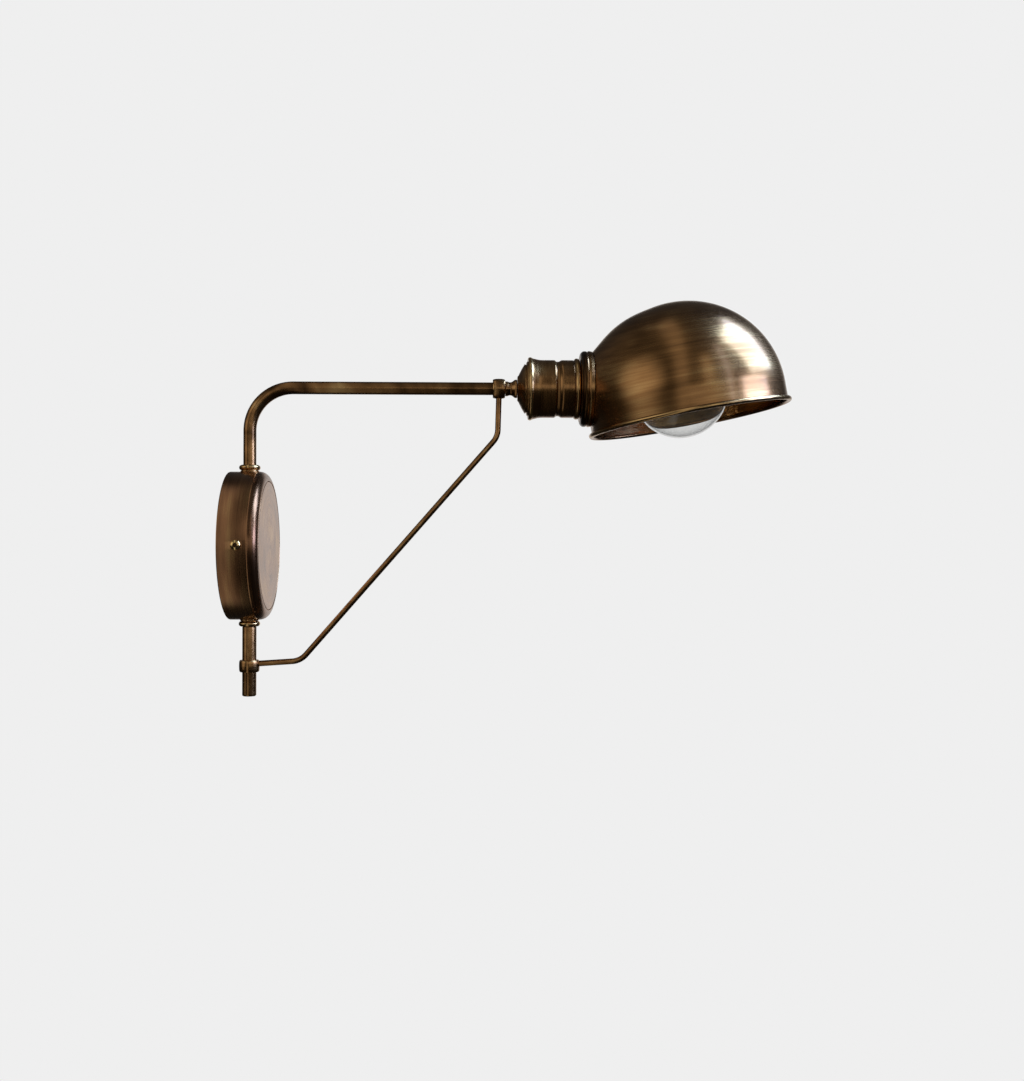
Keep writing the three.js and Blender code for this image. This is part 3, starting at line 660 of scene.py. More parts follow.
def unique_corners(face: Sequence) -> list:
    """Face without repeated corners, as at a pole."""
    return list(dict.fromkeys(face))


def placed(local: Sequence[Sequence[float]], axis: Axis) -> np.ndarray:
    """Local millimetres as metres in the frame."""
    matrix = np.array(axis.matrix())
    return np.asarray(local, dtype=float) @ matrix[:3, :3].T + matrix[:3, 3]


def drill(radius: float, axis: Axis, sides: int, reach: float = 70.0) -> bpy.types.Object:
    """Round cutting tool along an axis, both ways from its origin."""
    outline = [Corner(0, -reach), Corner(radius, -reach), Corner(radius, reach), Corner(0, reach)]
    return turned("tool", outline, axis, sides)


def hexagonal_tool(radius: float, start: float, end: float, axis: Axis) -> bpy.types.Object:
    """Six-sided cutting tool along an axis.

    Args:
        radius: Distance from the axis to each edge.
        start: Station of its first face.
        end: Station of its last face.
        axis: The axis.

    Returns:
        The new object.
    """
    count = 6
    angles = [2 * math.pi * side / count for side in range(count)]
    corners = [(radius * math.cos(angle), radius * math.sin(angle)) for angle in angles]
    local = [(*corner, station) for station in (start, end) for corner in corners]
    faces: list[list[int]] = [list(range(count)), list(range(count, 2 * count))]
    faces += [[i, (i + 1) % count, (i + 1) % count + count, i + count] for i in range(count)]
    return make_object("tool", placed(local, axis), faces)


def carve(target: bpy.types.Object, *tools: bpy.types.Object) -> None:
    """Cuts tools out of an object for good, and removes them.

    Args:
        target: The object that is cut.
        tools: The shapes to take away.
    """
    for tool in tools:
        modifier = target.modifiers.new("cut", "BOOLEAN")
        modifier.operation = "DIFFERENCE"
        modifier.solver = "EXACT"
        modifier.object = tool
    settle(target)
    for tool in tools:
        bpy.data.objects.remove(tool)
    finish_mesh(target.data)


def set_wear_and_painted_light(target: bpy.types.Object, wear_and_painted_light: float, chosen: Callable[[Vector], bool]) -> None:
    """Sets the per-vertex tone of part of an object: how worn it is, or painted shade.

    Args:
        target: The object.
        wear_and_painted_light: The value to set.
        chosen: Says whether a place, in millimetres, gets it.
    """
    layer = target.data.attributes["wear_and_painted_light"]
    for vertex in target.data.vertices:
        if chosen(vertex.co / MM):
            layer.data[vertex.index].value = wear_and_painted_light


def settle(target: bpy.types.Object) -> None:
    """Turns an object's modifiers into a plain mesh and removes them.

    Args:
        target: The object.
    """
    graph = bpy.context.evaluated_depsgraph_get()
    mesh = bpy.data.meshes.new_from_object(target.evaluated_get(graph))
    target.modifiers.clear()
    target.data = mesh


def joined(name: str, *objects: bpy.types.Object) -> bpy.types.Object:
    """Several mesh objects as one, without merging their surfaces.

    Args:
        name: The new piece's name.
        objects: The objects, which are removed.

    Returns:
        The new object.
    """
    work = bmesh.new()
    for each in objects:
        work.from_mesh(each.data)
        bpy.data.objects.remove(each)
    mesh = bpy.data.meshes.new(name)
    work.to_mesh(mesh)
    work.free()
    finish_mesh(mesh)
    return linked(name, mesh)


# ---------------------------------------------------------------- geometry node tools
def geometry_group(name: str, sockets: Sequence[tuple[str, str]]) -> Graph:
    """Empty geometry node group with named inputs and one geometry output.

    Args:
        name: The group's name.
        sockets: Name and socket type of each input.

    Returns:
        The group's graph.
    """
    tree = bpy.data.node_groups.new(name, "GeometryNodeTree")
    for label, kind in sockets:
        tree.interface.new_socket(label, in_out="INPUT", socket_type=kind)
    tree.interface.new_socket("Geometry", in_out="OUTPUT", socket_type="NodeSocketGeometry")
    return Graph(tree)


def run_group(target: bpy.types.Object, graph: Graph, values: dict) -> None:
    """Runs a geometry node group on an object and keeps the plain mesh that it makes.

    Args:
        target: The object that the group works on.
        graph: The group's graph.
        values: Input values by socket name.
    """
    modifier = target.modifiers.new(graph.tree.name, "NODES")
    modifier.node_group = graph.tree
    for item in graph.tree.interface.items_tree:
        if item.item_type == "SOCKET" and item.in_out == "INPUT" and item.name in values:
            modifier[item.identifier] = values[item.name]
    settle(target)
    finish_mesh(target.data)


def sweep_group() -> Graph:
    """Group that sweeps a round section along a line and stores how far along each point lies.

    Returns:
        The group's graph.
    """
    graph = geometry_group("round_bar_along_line", [
        ("Line", "NodeSocketGeometry"), ("Radius", "NodeSocketFloat"), ("Sides", "NodeSocketInt"),
        ("Finish", "NodeSocketMaterial"),
    ])
    given = graph.node("NodeGroupInput")
    curve = graph.node("GeometryNodeMeshToCurve", None, {"Mesh": given.outputs["Line"]})
    where = graph.node("GeometryNodeSplineParameter")
    kept = graph.node("GeometryNodeStoreNamedAttribute", {"data_type": "FLOAT", "domain": "POINT"}, {
        "Geometry": curve.outputs[0], "Name": "along", "Value": where.outputs["Length"],
    })
    ring = graph.node("GeometryNodeCurvePrimitiveCircle", None, {
        "Resolution": given.outputs["Sides"], "Radius": given.outputs["Radius"],
    })
    skin = graph.node("GeometryNodeCurveToMesh", None, {
        "Curve": kept.outputs[0], "Profile Curve": ring.outputs[0], "Fill Caps": True,
    })
    finish_group(graph, skin.outputs[0], given.outputs["Finish"])
    return graph


def ring_group() -> Graph:
    """Group that sets copies of a pattern piece round a circle, each facing outwards.

    Returns:
        The group's graph.
    """
    graph = geometry_group("copies_round_a_circle", [
        ("Pattern", "NodeSocketGeometry"), ("Count", "NodeSocketInt"), ("Radius", "NodeSocketFloat"),
        ("Finish", "NodeSocketMaterial"),
    ])
    given = graph.node("NodeGroupInput")
    index = graph.wire("GeometryNodeInputIndex", 0)
    angle = index * (2 * math.pi) / Wire(graph, given.outputs["Count"])
    radius = Wire(graph, given.outputs["Radius"])
    spot = graph.wire("ShaderNodeCombineXYZ", 0, None, {0: angle.cosine() * radius, 1: angle.sine() * radius})
    spots = graph.node("GeometryNodePoints", None, {"Count": given.outputs["Count"], "Position": spot})
    place = graph.node("GeometryNodeInputPosition")
    facing = graph.node("FunctionNodeAlignRotationToVector", {"axis": "X"}, {"Vector": place.outputs[0]})
    copies = graph.node("GeometryNodeInstanceOnPoints", None, {
        "Points": spots.outputs[0], "Instance": given.outputs["Pattern"], "Rotation": facing.outputs[0],
    })
    finish_group(graph, copies.outputs[0], given.outputs["Finish"])
    return graph


def finish_group(graph: Graph, geometry: bpy.types.NodeSocket, finish: bpy.types.NodeSocket) -> None:
    """Ends a group in Realize Instances and Set Material.

    Args:
        graph: The group's graph.
        geometry: The geometry to end with.
        finish: The material to set.
    """
    real = graph.node("GeometryNodeRealizeInstances", None, {"Geometry": geometry})
    dressed = graph.node("GeometryNodeSetMaterial", None, {"Geometry": real.outputs[0], "Material": finish})
    graph.node("NodeGroupOutput", None, {0: dressed.outputs[0]})


def move_mesh(target: bpy.types.Object, matrix: Matrix) -> None:
    """Moves an object's mesh, and leaves the object at the origin."""
    target.data.transform(matrix)
    target.data.update()


def bent_line(corners: Sequence[Vector], bend: float) -> list[Vector]:
    """Straight runs joined by round bends.

    Args:
        corners: Where the runs would meet, in millimetres.
        bend: Radius of each bend.

    Returns:
        Close points along the line.
    """
    points = [corners[0]]
    for before, corner, after in zip(corners, corners[1:], corners[2:]):
        arriving, leaving = (corner - before).normalized(), (after - corner).normalized()
        turn = arriving.angle(leaving)
        middle = corner + (leaving - arriving).normalized() * (bend / math.cos(turn / 2))
        first = corner - arriving * bend * math.tan(turn / 2) - middle
        spin = arriving.cross(leaving).normalized()
        steps = max(4, math.ceil(turn / BEND_STEP))
        swings = (Matrix.Rotation(turn * step / steps, 3, spin) for step in range(steps + 1))
        points += [middle + swing @ first for swing in swings]
    points.append(corners[-1])
    return with_even_runs(points)


def with_even_runs(points: Sequence[Vector], longest: float = 6.0) -> list[Vector]:
    """Line with its long straight runs divided.

    Args:
        points: The line.
        longest: The longest run that stays whole.

    Returns:
        The line with points added.
    """
    result = [points[0]]
    for start, end in zip(points, points[1:]):
        pieces = max(1, math.ceil((end - start).length / longest))
        result += [start.lerp(end, piece / pieces) for piece in range(1, pieces + 1)]
    return result


def swept_bar(
    name: str, line: Sequence[Vector], radius: float, sides: int, finish: bpy.types.Material
) -> bpy.types.Object:
    """Round bar along a line, made with the sweep group.

    Args:
        name: The piece's name.
        line: Points along its middle, in millimetres.
        radius: The bar's radius.
        sides: Facets round it.
        finish: Its material.

    Returns:
        The new object.
    """
    mesh = bpy.data.meshes.new(name)
    mesh.from_pydata([tuple(point * MM) for point in line], [(i, i + 1) for i in range(len(line) - 1)], [])
    made = linked(name, mesh)
    run_group(made, sweep_group(), {"Radius": radius * MM, "Sides": sides, "Finish": finish})
    return made


# ---------------------------------------------------------------- where things are
def low(node: str) -> Vector:
    """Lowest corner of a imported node, in millimetres."""
    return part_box(node)[0] / MM


def high(node: str) -> Vector:
    """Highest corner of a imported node, in millimetres."""
    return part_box(node)[1] / MM


PIVOT = (low("pivot_sleeve").x + high("pivot_sleeve").x) / 2
HEIGHT = (low("socket_cup").z + high("socket_cup").z) / 2
WALL_AXIS = Axis.along_x()
PIVOT_AXIS = Axis.upright(PIVOT)
HEAD_AXIS = Axis.along_x(HEIGHT)
HOLDER_BORE = 19.8
SEAT = low("shade_ring_nut").x - 1.5
DOME_AHEAD = 77.6
DOME_DROP = 9.1
DOME_TILT = math.radians(-10.2)
DOME_AXIS = Axis((SEAT + DOME_AHEAD, 0.0, HEIGHT - DOME_DROP), (0.0, DOME_TILT, 0.0))

AGED_WALL = Brass(
    "aged_brass_canopy", "aged_brass", dark=(0.066, 0.026, 0.011), body=(0.385, 0.184, 0.080), bias=-0.02,
    axis=WALL_AXIS,
)
AGED_POST = Brass("aged_brass_post", "aged_brass", axis=PIVOT_AXIS, hairlines=0.0)
AGED_HEAD = Brass("aged_brass_socket", "aged_brass", axis=HEAD_AXIS, bias=-0.06, hairlines=0.4)
AGED_DOME = Brass("aged_brass_shade", "aged_brass", axis=DOME_AXIS, bias=0.02)
AGED_BAR = Brass(
    "aged_brass_tube", "aged_brass", bias=-0.10, hairlines=0.0, patches=1.6, brushing=Brushing.BAR
)
AGED_ROD = Brass("aged_brass_rod", "aged_brass", hairlines=0.0, brushing=Brushing.BAR)
RUBBED_POST = Brass(
    "rubbed_brass_pivot", "rubbed_brass", roughness=0.24, bias=0.10, hairlines=0.0, axis=PIVOT_AXIS
)
RUBBED_HEAD = Brass("rubbed_brass_socket", "rubbed_brass", roughness=0.24, hairlines=0.0, axis=HEAD_AXIS)
BRIGHT = Brass(
    "bright_brass", "bright_brass", dark=(0.05, 0.025, 0.008), body=(0.80, 0.48, 0.15),
    bare=(0.95, 0.68, 0.28), roughness=0.24, lacquer=0.1, bias=0.2, hairlines=0.3,
)
ZINC = PlainMetal("zinc_steel", "zinc_steel", (0.56, 0.57, 0.58), 0.36)
NICKEL = PlainMetal("nickel_plate", "nickel_plate", (0.68, 0.66, 0.62), 0.24)
PHENOLIC = Moulded("black_phenolic", "black_phenolic", (0.020, 0.018, 0.017), 0.34)
NYLON = Moulded("white_nylon", "white_nylon", (0.72, 0.71, 0.66), 0.42)
CABLE = Moulded("black_cable", "black_cable", (0.022, 0.022, 0.024), 0.5, 1500.0)
GLASS = BlownGlass("clear_glass", "clear_glass")
WIRE = PlainMetal("filament_wire", "filament_wire", (0.42, 0.38, 0.33), 0.36)


class Workshop:
    """Makes each finish once, and fits finished pieces to the frame."""

    def __init__(self) -> None:
        """Starts with no materials made."""
        self.made: dict[str, bpy.types.Material] = {}

    def material(self, finish: Finish) -> bpy.types.Material:
        """Material of a finish, built at its first use.

        Args:
            finish: The finish.

        Returns:
            Its material.
        """
        if finish.name not in self.made:
            self.made[finish.name] = finish.material()
        return self.made[finish.name]

    def fit(self, piece: bpy.types.Object, body: str, finish: Finish, *nodes: str) -> None:
        """Dresses a piece, lets it ride on its body and stand for its nodes.

        Args:
            piece: The finished mesh object.
            body: The body that it moves with.
            finish: Its finish.
            nodes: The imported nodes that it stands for.
        """
        piece.data.materials.clear()
        piece.data.materials.append(self.material(finish))
        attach(piece, body)
        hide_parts(*nodes)
        LOG.info("%s stands for %s", piece.name, ", ".join(nodes))

    def keep(self, finish: Finish, *nodes: str) -> None:
        """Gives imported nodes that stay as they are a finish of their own.

        Args:
            finish: The finish.
            nodes: The nodes' names.
        """
        for node in nodes:
            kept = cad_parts[node]
            if not kept.material_slots:
                kept.data.materials.append(None)
            for held in kept.material_slots:
                held.material = self.material(finish)
            LOG.info("%s keeps its packed shape", node)


# ---------------------------------------------------------------- canopy
@dataclass
class Canopy:
    """Drum on the wall with its face disc, pivot caps, post, bracket and wiring."""

    shop: Workshop
    radius: float = 60.0
    depth: float = 31.0
    fillet: float = 7.0
    wall: float = 1.4
    recess: float = 52.45
    ledge: float = 29.4
    face_bore: float = 44.2
    pivot_bore: float = 7.1
    screw_bore: float = 2.3
    screw_head: tuple[float, float] = (4.1, 2.3)
    socket_radius: float = 1.9
    post_radius: float = 5.65

    def build(self) -> None:
        """Makes every piece of the canopy."""
        self.build_drum()
        self.build_disc()
        self.build_side_screws()
        self.build_pivot()
        self.build_inside()

    def build_drum(self) -> None:
        """Spun drum: a raised line where its side meets the round front edge, and a recess for the disc."""
        radius, depth, flat = self.radius, self.depth, self.radius - self.fillet
        recess, ledge, inner = self.recess, self.ledge, self.radius - self.wall
        outline = [
            Corner(radius - 0.2, 0.0, 0.0, 0.5), Corner(radius, 0.5, 0.3, 0.6), Corner(radius, 1.6),
            Corner(radius, 22.7, 0.0, 0.1), Corner(radius + 0.15, 23.0, 0.1, 0.95),
            Corner(radius + 0.15, 23.7, 0.1, 0.95),
            # The round front edge is painted darker: a painted reflection of the dark room.
            *arc(flat, depth - self.fillet, self.fillet, 4, 86, 16, -0.35),
            Corner(recess + 0.35, depth, 0.1, 0.2), Corner(recess, depth - 0.35, 0.1, -1.0),
            Corner(recess, ledge, 0.0, -1.0), Corner(self.face_bore, ledge, 0.2, -1.0),
            Corner(self.face_bore, ledge - self.wall, 0.2), Corner(flat, ledge - self.wall),
            Corner(inner, depth - self.fillet - 1, 4.0), Corner(inner, 0.0),
        ]
        drum = turned("canopy_drum", outline, WALL_AXIS, 192)
        sideways = Axis((PIVOT, 0.0, 0.0), (math.pi / 2, 0.0, 0.0))
        carve(drum, drill(self.pivot_bore, PIVOT_AXIS, 48), drill(self.screw_bore, sideways, 32))
        self.shop.fit(drum, "canopy", AGED_WALL, "canopy_shell")

    def build_disc(self) -> None:
        """Face disc let into the drum's front."""
        edge, depth, back = high("canopy_face_plate").z, self.depth, low("canopy_face_plate").x
        outline = [
            Corner(0, back), Corner(edge, back, 0.1, -1.0), Corner(edge, depth - 0.7, 0.15, -1.0),
            Corner(edge - 0.55, depth - 0.1, 0.15, -0.9), Corner(edge - 0.9, depth, 0.1, 0.2),
            Corner(edge - 1.8, depth), Corner(edge - 3.2, depth), Corner(30, depth), Corner(0, depth),
        ]
        disc = turned("canopy_disc", outline, WALL_AXIS, 192)
        self.shop.fit(disc, "canopy", AGED_WALL, "canopy_face_plate")

    def build_side_screws(self) -> None:
        """Two button screws with hexagon sockets painted dark as painted shade, copied round the drum by
        geometry nodes.
        """
        radius, height = self.screw_head
        shank = [Corner(0, -9), Corner(2.0, -9, 0.4), Corner(2.0, 0.0, 0.1), Corner(radius, 0.0, 0.15, 0.4)]
        dome = [Corner(radius * c.radius, height * c.station, 0.0, 0.5) for c in arc(0, 0, 1, 12, 84, 8)]
        screw = turned("canopy_screws", shank + dome + [Corner(0, height, 0.0, 0.3)], WALL_AXIS, 48)
        socket_from, socket_to = 0.8, 4.0
        carve(screw, hexagonal_tool(self.socket_radius, socket_from, socket_to, WALL_AXIS))
        # The hexagon socket is painted dark: painted shade in the recess.
        set_wear_and_painted_light(screw, -1.8, self.in_socket)
        values = {"Count": 2, "Radius": (self.radius + 0.3) * MM, "Finish": self.shop.material(BRIGHT)}
        run_group(screw, ring_group(), values)
        move_mesh(screw, Matrix.Translation((PIVOT * MM, 0, 0)) @ Matrix.Rotation(math.pi / 2, 4, "Z"))
        self.shop.fit(screw, "canopy", BRIGHT, "canopy_screw_near", "canopy_screw_far")

    def in_socket(self, place: Vector) -> bool:
        """Whether a place on the screw is in its hexagon socket."""
        return math.hypot(place.y, place.z) < self.socket_radius + 0.1 and 0.6 < place.x < 1.9

    def build_pivot(self) -> None:
        """Beaded caps on the bearing tube's ends, and the plain post below."""
        cap = [
            Corner(5.5, 65.7, 0.2, 0.4), *arc(6.35, 63.35, 2.2, 80, -62, 14, 0.55),
            Corner(6.55, 61.2, 0.3, -1.0), Corner(6.9, 60.95, 0.3, -0.6), Corner(7.5, 60.6, 0.3, 0.7),
            Corner(7.5, 59.9, 0.3, 0.5), Corner(7.05, 59.3, 0.0, -0.4), Corner(5.5, 59.3),
        ]
        for end, turn in (("top", 0.0), ("bottom", math.pi)):
            piece = turned(f"pivot_cap_{end}", cap, Axis((PIVOT, 0.0, 0.0), (turn, 0.0, 0.0)))
            self.shop.fit(piece, "canopy", RUBBED_POST, f"sleeve_cap_{end}")
        foot, top, radius, shoulder = low("lower_post").z, high("lower_post").z, self.post_radius, -66.0
        post = [
            Corner(0, top), Corner(radius - 0.45, top, 0.3), Corner(radius - 0.45, shoulder, 0.0, -0.8),
            Corner(radius, shoulder, 0.1), Corner(radius, foot + 0.8, 0.5, 0.8),
            Corner(radius - 0.75, foot, 0.4, 0.6), Corner(0, foot),
        ]
        self.shop.fit(turned("post", post, PIVOT_AXIS), "canopy", AGED_POST, "lower_post")

    def build_inside(self) -> None:
        """Bracket with eased edges, and finishes for what the drum hides."""
        self.shop.fit(eased("bracket", "wall_bracket", 0.35), "canopy", ZINC, "wall_bracket")
        self.shop.fit(eased("terminals", "terminal_block", 0.3), "canopy", NYLON, "terminal_block")
        self.shop.keep(RUBBED_POST, "pivot_sleeve", "sleeve_nut_top", "sleeve_nut_bottom")
        self.shop.keep(ZINC, "earth_screw", "swing_friction_screw", "post_grub_screw")
        self.shop.keep(NYLON, "thrust_washer")
        self.shop.keep(CABLE, "canopy_lead")
        self.shop.keep(BRIGHT, "terminal_screw_1", "terminal_screw_2", "terminal_screw_3")


def eased(name: str, node: str, width: float) -> bpy.types.Object:
    """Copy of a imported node's mesh with its sharp edges rounded.

    Args:
        name: The piece's name.
        node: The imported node.
        width: Width of the rounding, in millimetres.

    Returns:
        The new object.
    """
    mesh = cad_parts[node].data.copy()
    work = bmesh.new()
    work.from_mesh(mesh)
    bmesh.ops.remove_doubles(work, verts=work.verts, dist=SAME_PLACE)
    work.to_mesh(mesh)
    work.free()
    made = linked(name, mesh)
    bevel = made.modifiers.new("edges", "BEVEL")
    bevel.width = width * MM
    bevel.segments = 3
    bevel.limit_method = "ANGLE"
    bevel.angle_limit = math.radians(50)
    settle(made)
    finish_mesh(made.data)
    return made


# ---------------------------------------------------------------- arm
@dataclass
class Arm:
    """Bent tube that swings on the canopy, with the strut below it and the swivel at its end."""

    shop: Workshop
    tube_radius: float = 5.2
    tube_bend: float = 35.0
    rod_radius: float = 2.33
    rod_bend: float = 16.0
    rod_foot: tuple[float, float] = (41.3, 2.2)
    rod_drop: float = 39.3
    ring_bore: float = 5.95
    collar_bore: float = 5.5

    def build(self) -> None:
        """Makes every piece of the arm."""
        self.build_tube()
        self.build_strut()
        self.build_swivel()

    def build_tube(self) -> None:
        """Main tube, swept along its bent line."""
        bottom, end = low("arm_tube").z, high("arm_tube").x
        corners = [Vector((PIVOT, 0, bottom)), Vector((PIVOT, 0, HEIGHT)), Vector((end, 0, HEIGHT))]
        line = bent_line(corners, self.tube_bend)
        tube = swept_bar("tube", line, self.tube_radius, 64, self.shop.material(AGED_BAR))
        self.shop.fit(tube, "arm", AGED_BAR, "arm_tube")
        self.shop.keep(CABLE, "arm_cable")

    def build_strut(self) -> None:
        """Thin rod between a ring on the post and a collar on the tube."""
        ring_low, ring_high = low("strut_lower_ring"), high("strut_lower_ring")
        ring = self.band(self.ring_bore, (ring_high.y - ring_low.y) / 2, ring_low.z, ring_high.z, 0.25)
        self.shop.fit(turned("strut_ring", ring, PIVOT_AXIS), "arm", RUBBED_POST, "strut_lower_ring")

        collar_low, collar_high = low("strut_upper_collar"), high("strut_upper_collar")
        collar = self.band(
            self.collar_bore, (collar_high.y - collar_low.y) / 2, collar_low.x, collar_high.x, 0.45
        )
        self.shop.fit(turned("strut_collar", collar, HEAD_AXIS), "arm", RUBBED_HEAD, "strut_upper_collar")
        self.shop.keep(ZINC, "collar_grub_screw")

        foot = Vector((low("strut_rod").x, 0, (ring_low.z + ring_high.z) / 2 + 1.8))
        top = Vector(((collar_low.x + collar_high.x) / 2, 0, high("strut_rod").z))
        foot_run, foot_rise = self.rod_foot
        lower_bend = Vector((PIVOT + foot_run, 0, foot.z + foot_rise))
        upper_bend = Vector((top.x - 1, 0, HEIGHT - self.rod_drop))
        line = bent_line([foot, lower_bend, upper_bend, top], self.rod_bend)
        rod = swept_bar("strut", line, self.rod_radius, 48, self.shop.material(AGED_ROD))
        self.shop.fit(rod, "arm", AGED_ROD, "strut_rod")

    @staticmethod
    def band(bore: float, radius: float, start: float, end: float, belly: float) -> list[Corner]:
        """Slightly barrel-shaped band with bright end edges.

        Args:
            bore: Radius of its hole.
            radius: Radius at its middle.
            start: Station of its first face.
            end: Station of its last face.
            belly: How much smaller it is at its ends.

        Returns:
            The band's outline.
        """
        near_end, near_middle = radius - belly, radius - belly * 0.3
        return [
            Corner(bore, start, 0.2, 0.3), Corner(radius - 0.9, start, 0.4, 0.9),
            Corner(near_end, start + 0.8, 0.5, 0.9), Corner(near_middle, start + 2.4, 2.0, 0.1),
            Corner(radius, (start + end) / 2, 6.0, 0.0),
            Corner(near_middle, end - 2.4, 2.0, 0.1), Corner(near_end, end - 0.8, 0.5, 0.9),
            Corner(radius - 0.9, end, 0.4, 0.9), Corner(bore, end, 0.2, 0.3),
        ]

    def build_swivel(self) -> None:
        """Flared neck that the head turns on, and the clamped nipple inside."""
        start, end = low("swivel_neck").x, high("swivel_neck").x
        neck = [
            Corner(4.0, start), Corner(6.1, start, 0.3, 0.7), Corner(6.0, start + 1.6, 1.0, 0.4),
            Corner(5.35, start + 3.4, 2.5, -0.5), Corner(5.5, start + 5.2, 2.5, -0.2),
            Corner(7.4, end - 1.9, 0.6, 0.9), Corner(7.6, end - 0.4, 0.3, 0.9),
            Corner(7.2, end, 0.2, 0.2), Corner(4.0, end),
        ]
        self.shop.fit(turned("swivel", neck, HEAD_AXIS), "arm", RUBBED_HEAD, "swivel_neck")
        self.shop.keep(ZINC, "head_nipple", "friction_washer")
        self.shop.keep(RUBBED_HEAD, "nipple_nut")


# ---------------------------------------------------------------- head
@dataclass
class Head:
    """Turned socket covers, lampholder, offset dome shade and globe bulb."""

    shop: Workshop
    cover: float = 23.55
    shell_radius: float = 13.5
    thread_pitch: float = 3.6
    nut_ribs: int = 48
    glass_neck: float = 12.4
    glass_wall: float = 0.9
    shoulder_angle: float = -46.0

    def build(self) -> None:
        """Makes every piece of the head."""
        self.build_cap()
        self.build_cup()
        self.build_skirt()
        self.build_gallery()
        self.build_lampholder()
        self.build_shell()
        self.build_ring_nut()
        self.shop.fit(DomeShape().build(), "head", AGED_DOME, "shade")
        self.build_glass()
        self.build_bulb_cap()
        self.build_bulb_inside()

    def build_cap(self) -> None:
        """Conical socket cap with a beaded edge."""
        start, bore = low("socket_cap").x, 4.0
        floor, joint, lip = start + 6.0, start + 15.05, start + 18.4
        cap = [
            Corner(bore, start), Corner(9.8, start, 0.1, 0.6), Corner(10.9, start + 0.9, 1.0, 0.4),
            Corner(16.4, start + 3.6, 9.0), Corner(20.4, start + 6.0, 0.3, 0.5),
            Corner(19.8, start + 6.3, 0.1, -1.0), Corner(19.8, start + 7.3, 0.1, -1.0),
            Corner(21.5, start + 7.4, 0.2, 0.8), Corner(22.3, start + 8.1, 0.3, 0.8),
            Corner(22.3, start + 8.9, 0.1, -1.0), *arc(23.75, start + 10.4, 2.05, -58, 34, 10, 0.7),
            Corner(25.0, start + 12.3, 0.8), Corner(24.6, start + 13.6, 2.0), Corner(24.28, joint),
            Corner(22.1, joint), Corner(22.1, lip, 0.2), Corner(20.9, lip, 0.2),
            Corner(20.9, start + 9.5, 2.0), Corner(9.7, floor, 1.0), Corner(bore, floor),
        ]
        self.shop.fit(turned("socket_cap_turned", cap, HEAD_AXIS, 128), "head", AGED_HEAD, "socket_cap")

    def build_cup(self) -> None:
        """Straight cover behind the groove, flared where it meets the cap."""
        back, front, cover = low("socket_cup").x, high("socket_cup").x, self.cover
        cup = [
            Corner(cover - 1.2, back - 0.15), Corner(cover + 0.72, back - 0.15),
            Corner(cover + 0.33, back + 1.5, 3.0), Corner(cover + 0.08, back + 3.2, 4.0),
            Corner(cover, back + 5.2, 4.0), Corner(cover, back + 8.0), Corner(cover, front - 2.0),
            Corner(cover, front - 1.4, 0.4, 0.8), Corner(cover - 1.0, front, 0.2, -1.0),
            Corner(cover - 1.2, front),
        ]
        self.shop.fit(turned("socket_cup_turned", cup, HEAD_AXIS, 128), "head", AGED_HEAD, "socket_cup")

    def build_skirt(self) -> None:
        """Cover in front of the groove, with a bead at its front."""
        back, front, cover = low("socket_skirt").x, high("socket_skirt").x, self.cover
        skirt = [
            Corner(cover - 2.2, back), Corner(cover - 1.3, back, 0.1, -2.0),
            Corner(cover - 1.2, back + 2.0, 0.8, -2.0), Corner(cover - 0.25, back + 3.6, 0.8, -1.6),
            Corner(cover, back + 4.3), Corner(cover, back + 5.5), Corner(cover, front - 5.3, 0.6, -0.4),
            Corner(cover - 0.35, front - 4.6, 0.2, -1.0),
            *arc(cover - 0.75, front - 2.25, 2.2, -50, 78, 12, 0.6),
            Corner(cover - 0.6, front, 0.1, -0.6), Corner(cover - 2.2, front),
        ]
        self.shop.fit(turned("socket_skirt_turned", skirt, HEAD_AXIS, 128), "head", AGED_HEAD, "socket_skirt")

    def build_gallery(self) -> None:
        """Flared gallery that holds the shade; its round part is painted dark as a painted reflection, and
        one ring is painted light as a painted highlight.
        """
        back, front = low("gallery_ring").x, high("gallery_ring").x
        rim = high("gallery_ring").z - HEIGHT
        gallery = [
            Corner(HOLDER_BORE, back), Corner(rim - 5.2, back, 0.2, -0.8),
            Corner(rim - 4.2, back + 0.1, 0.2, 0.5),
            # The round part is painted dark, a painted reflection of the dark room; the ring from back + 6.9
            # to back + 7.8 is painted light, a painted highlight. The groove and the front edge next to the
            # shade are darker.
            *arc(rim - 3.6, back + 3.9, 3.5, -84, -8, 10, -0.9), Corner(rim - 0.25, back + 5.0, 0.5, -1.2),
            Corner(rim - 0.7, back + 5.9, 0.3, -1.5), Corner(rim - 0.05, back + 6.9, 0.3, 0.7),
            Corner(rim, back + 7.8, 0.4, 0.6), Corner(rim - 0.2, back + 8.6, 0.4, -0.8),
            Corner(rim - 0.5, front - 0.2, 0.2, -1.2), Corner(rim - 1.0, front, 0.1, -1.5),
            Corner(rim - 1.5, front), Corner(rim - 2.6, back + 5.0, 0.5), Corner(rim - 6.5, back + 1.5, 0.5),
            Corner(HOLDER_BORE, back + 1.5),
        ]
        self.shop.fit(turned("gallery_turned", gallery, HEAD_AXIS, 160), "head", RUBBED_HEAD, "gallery_ring")

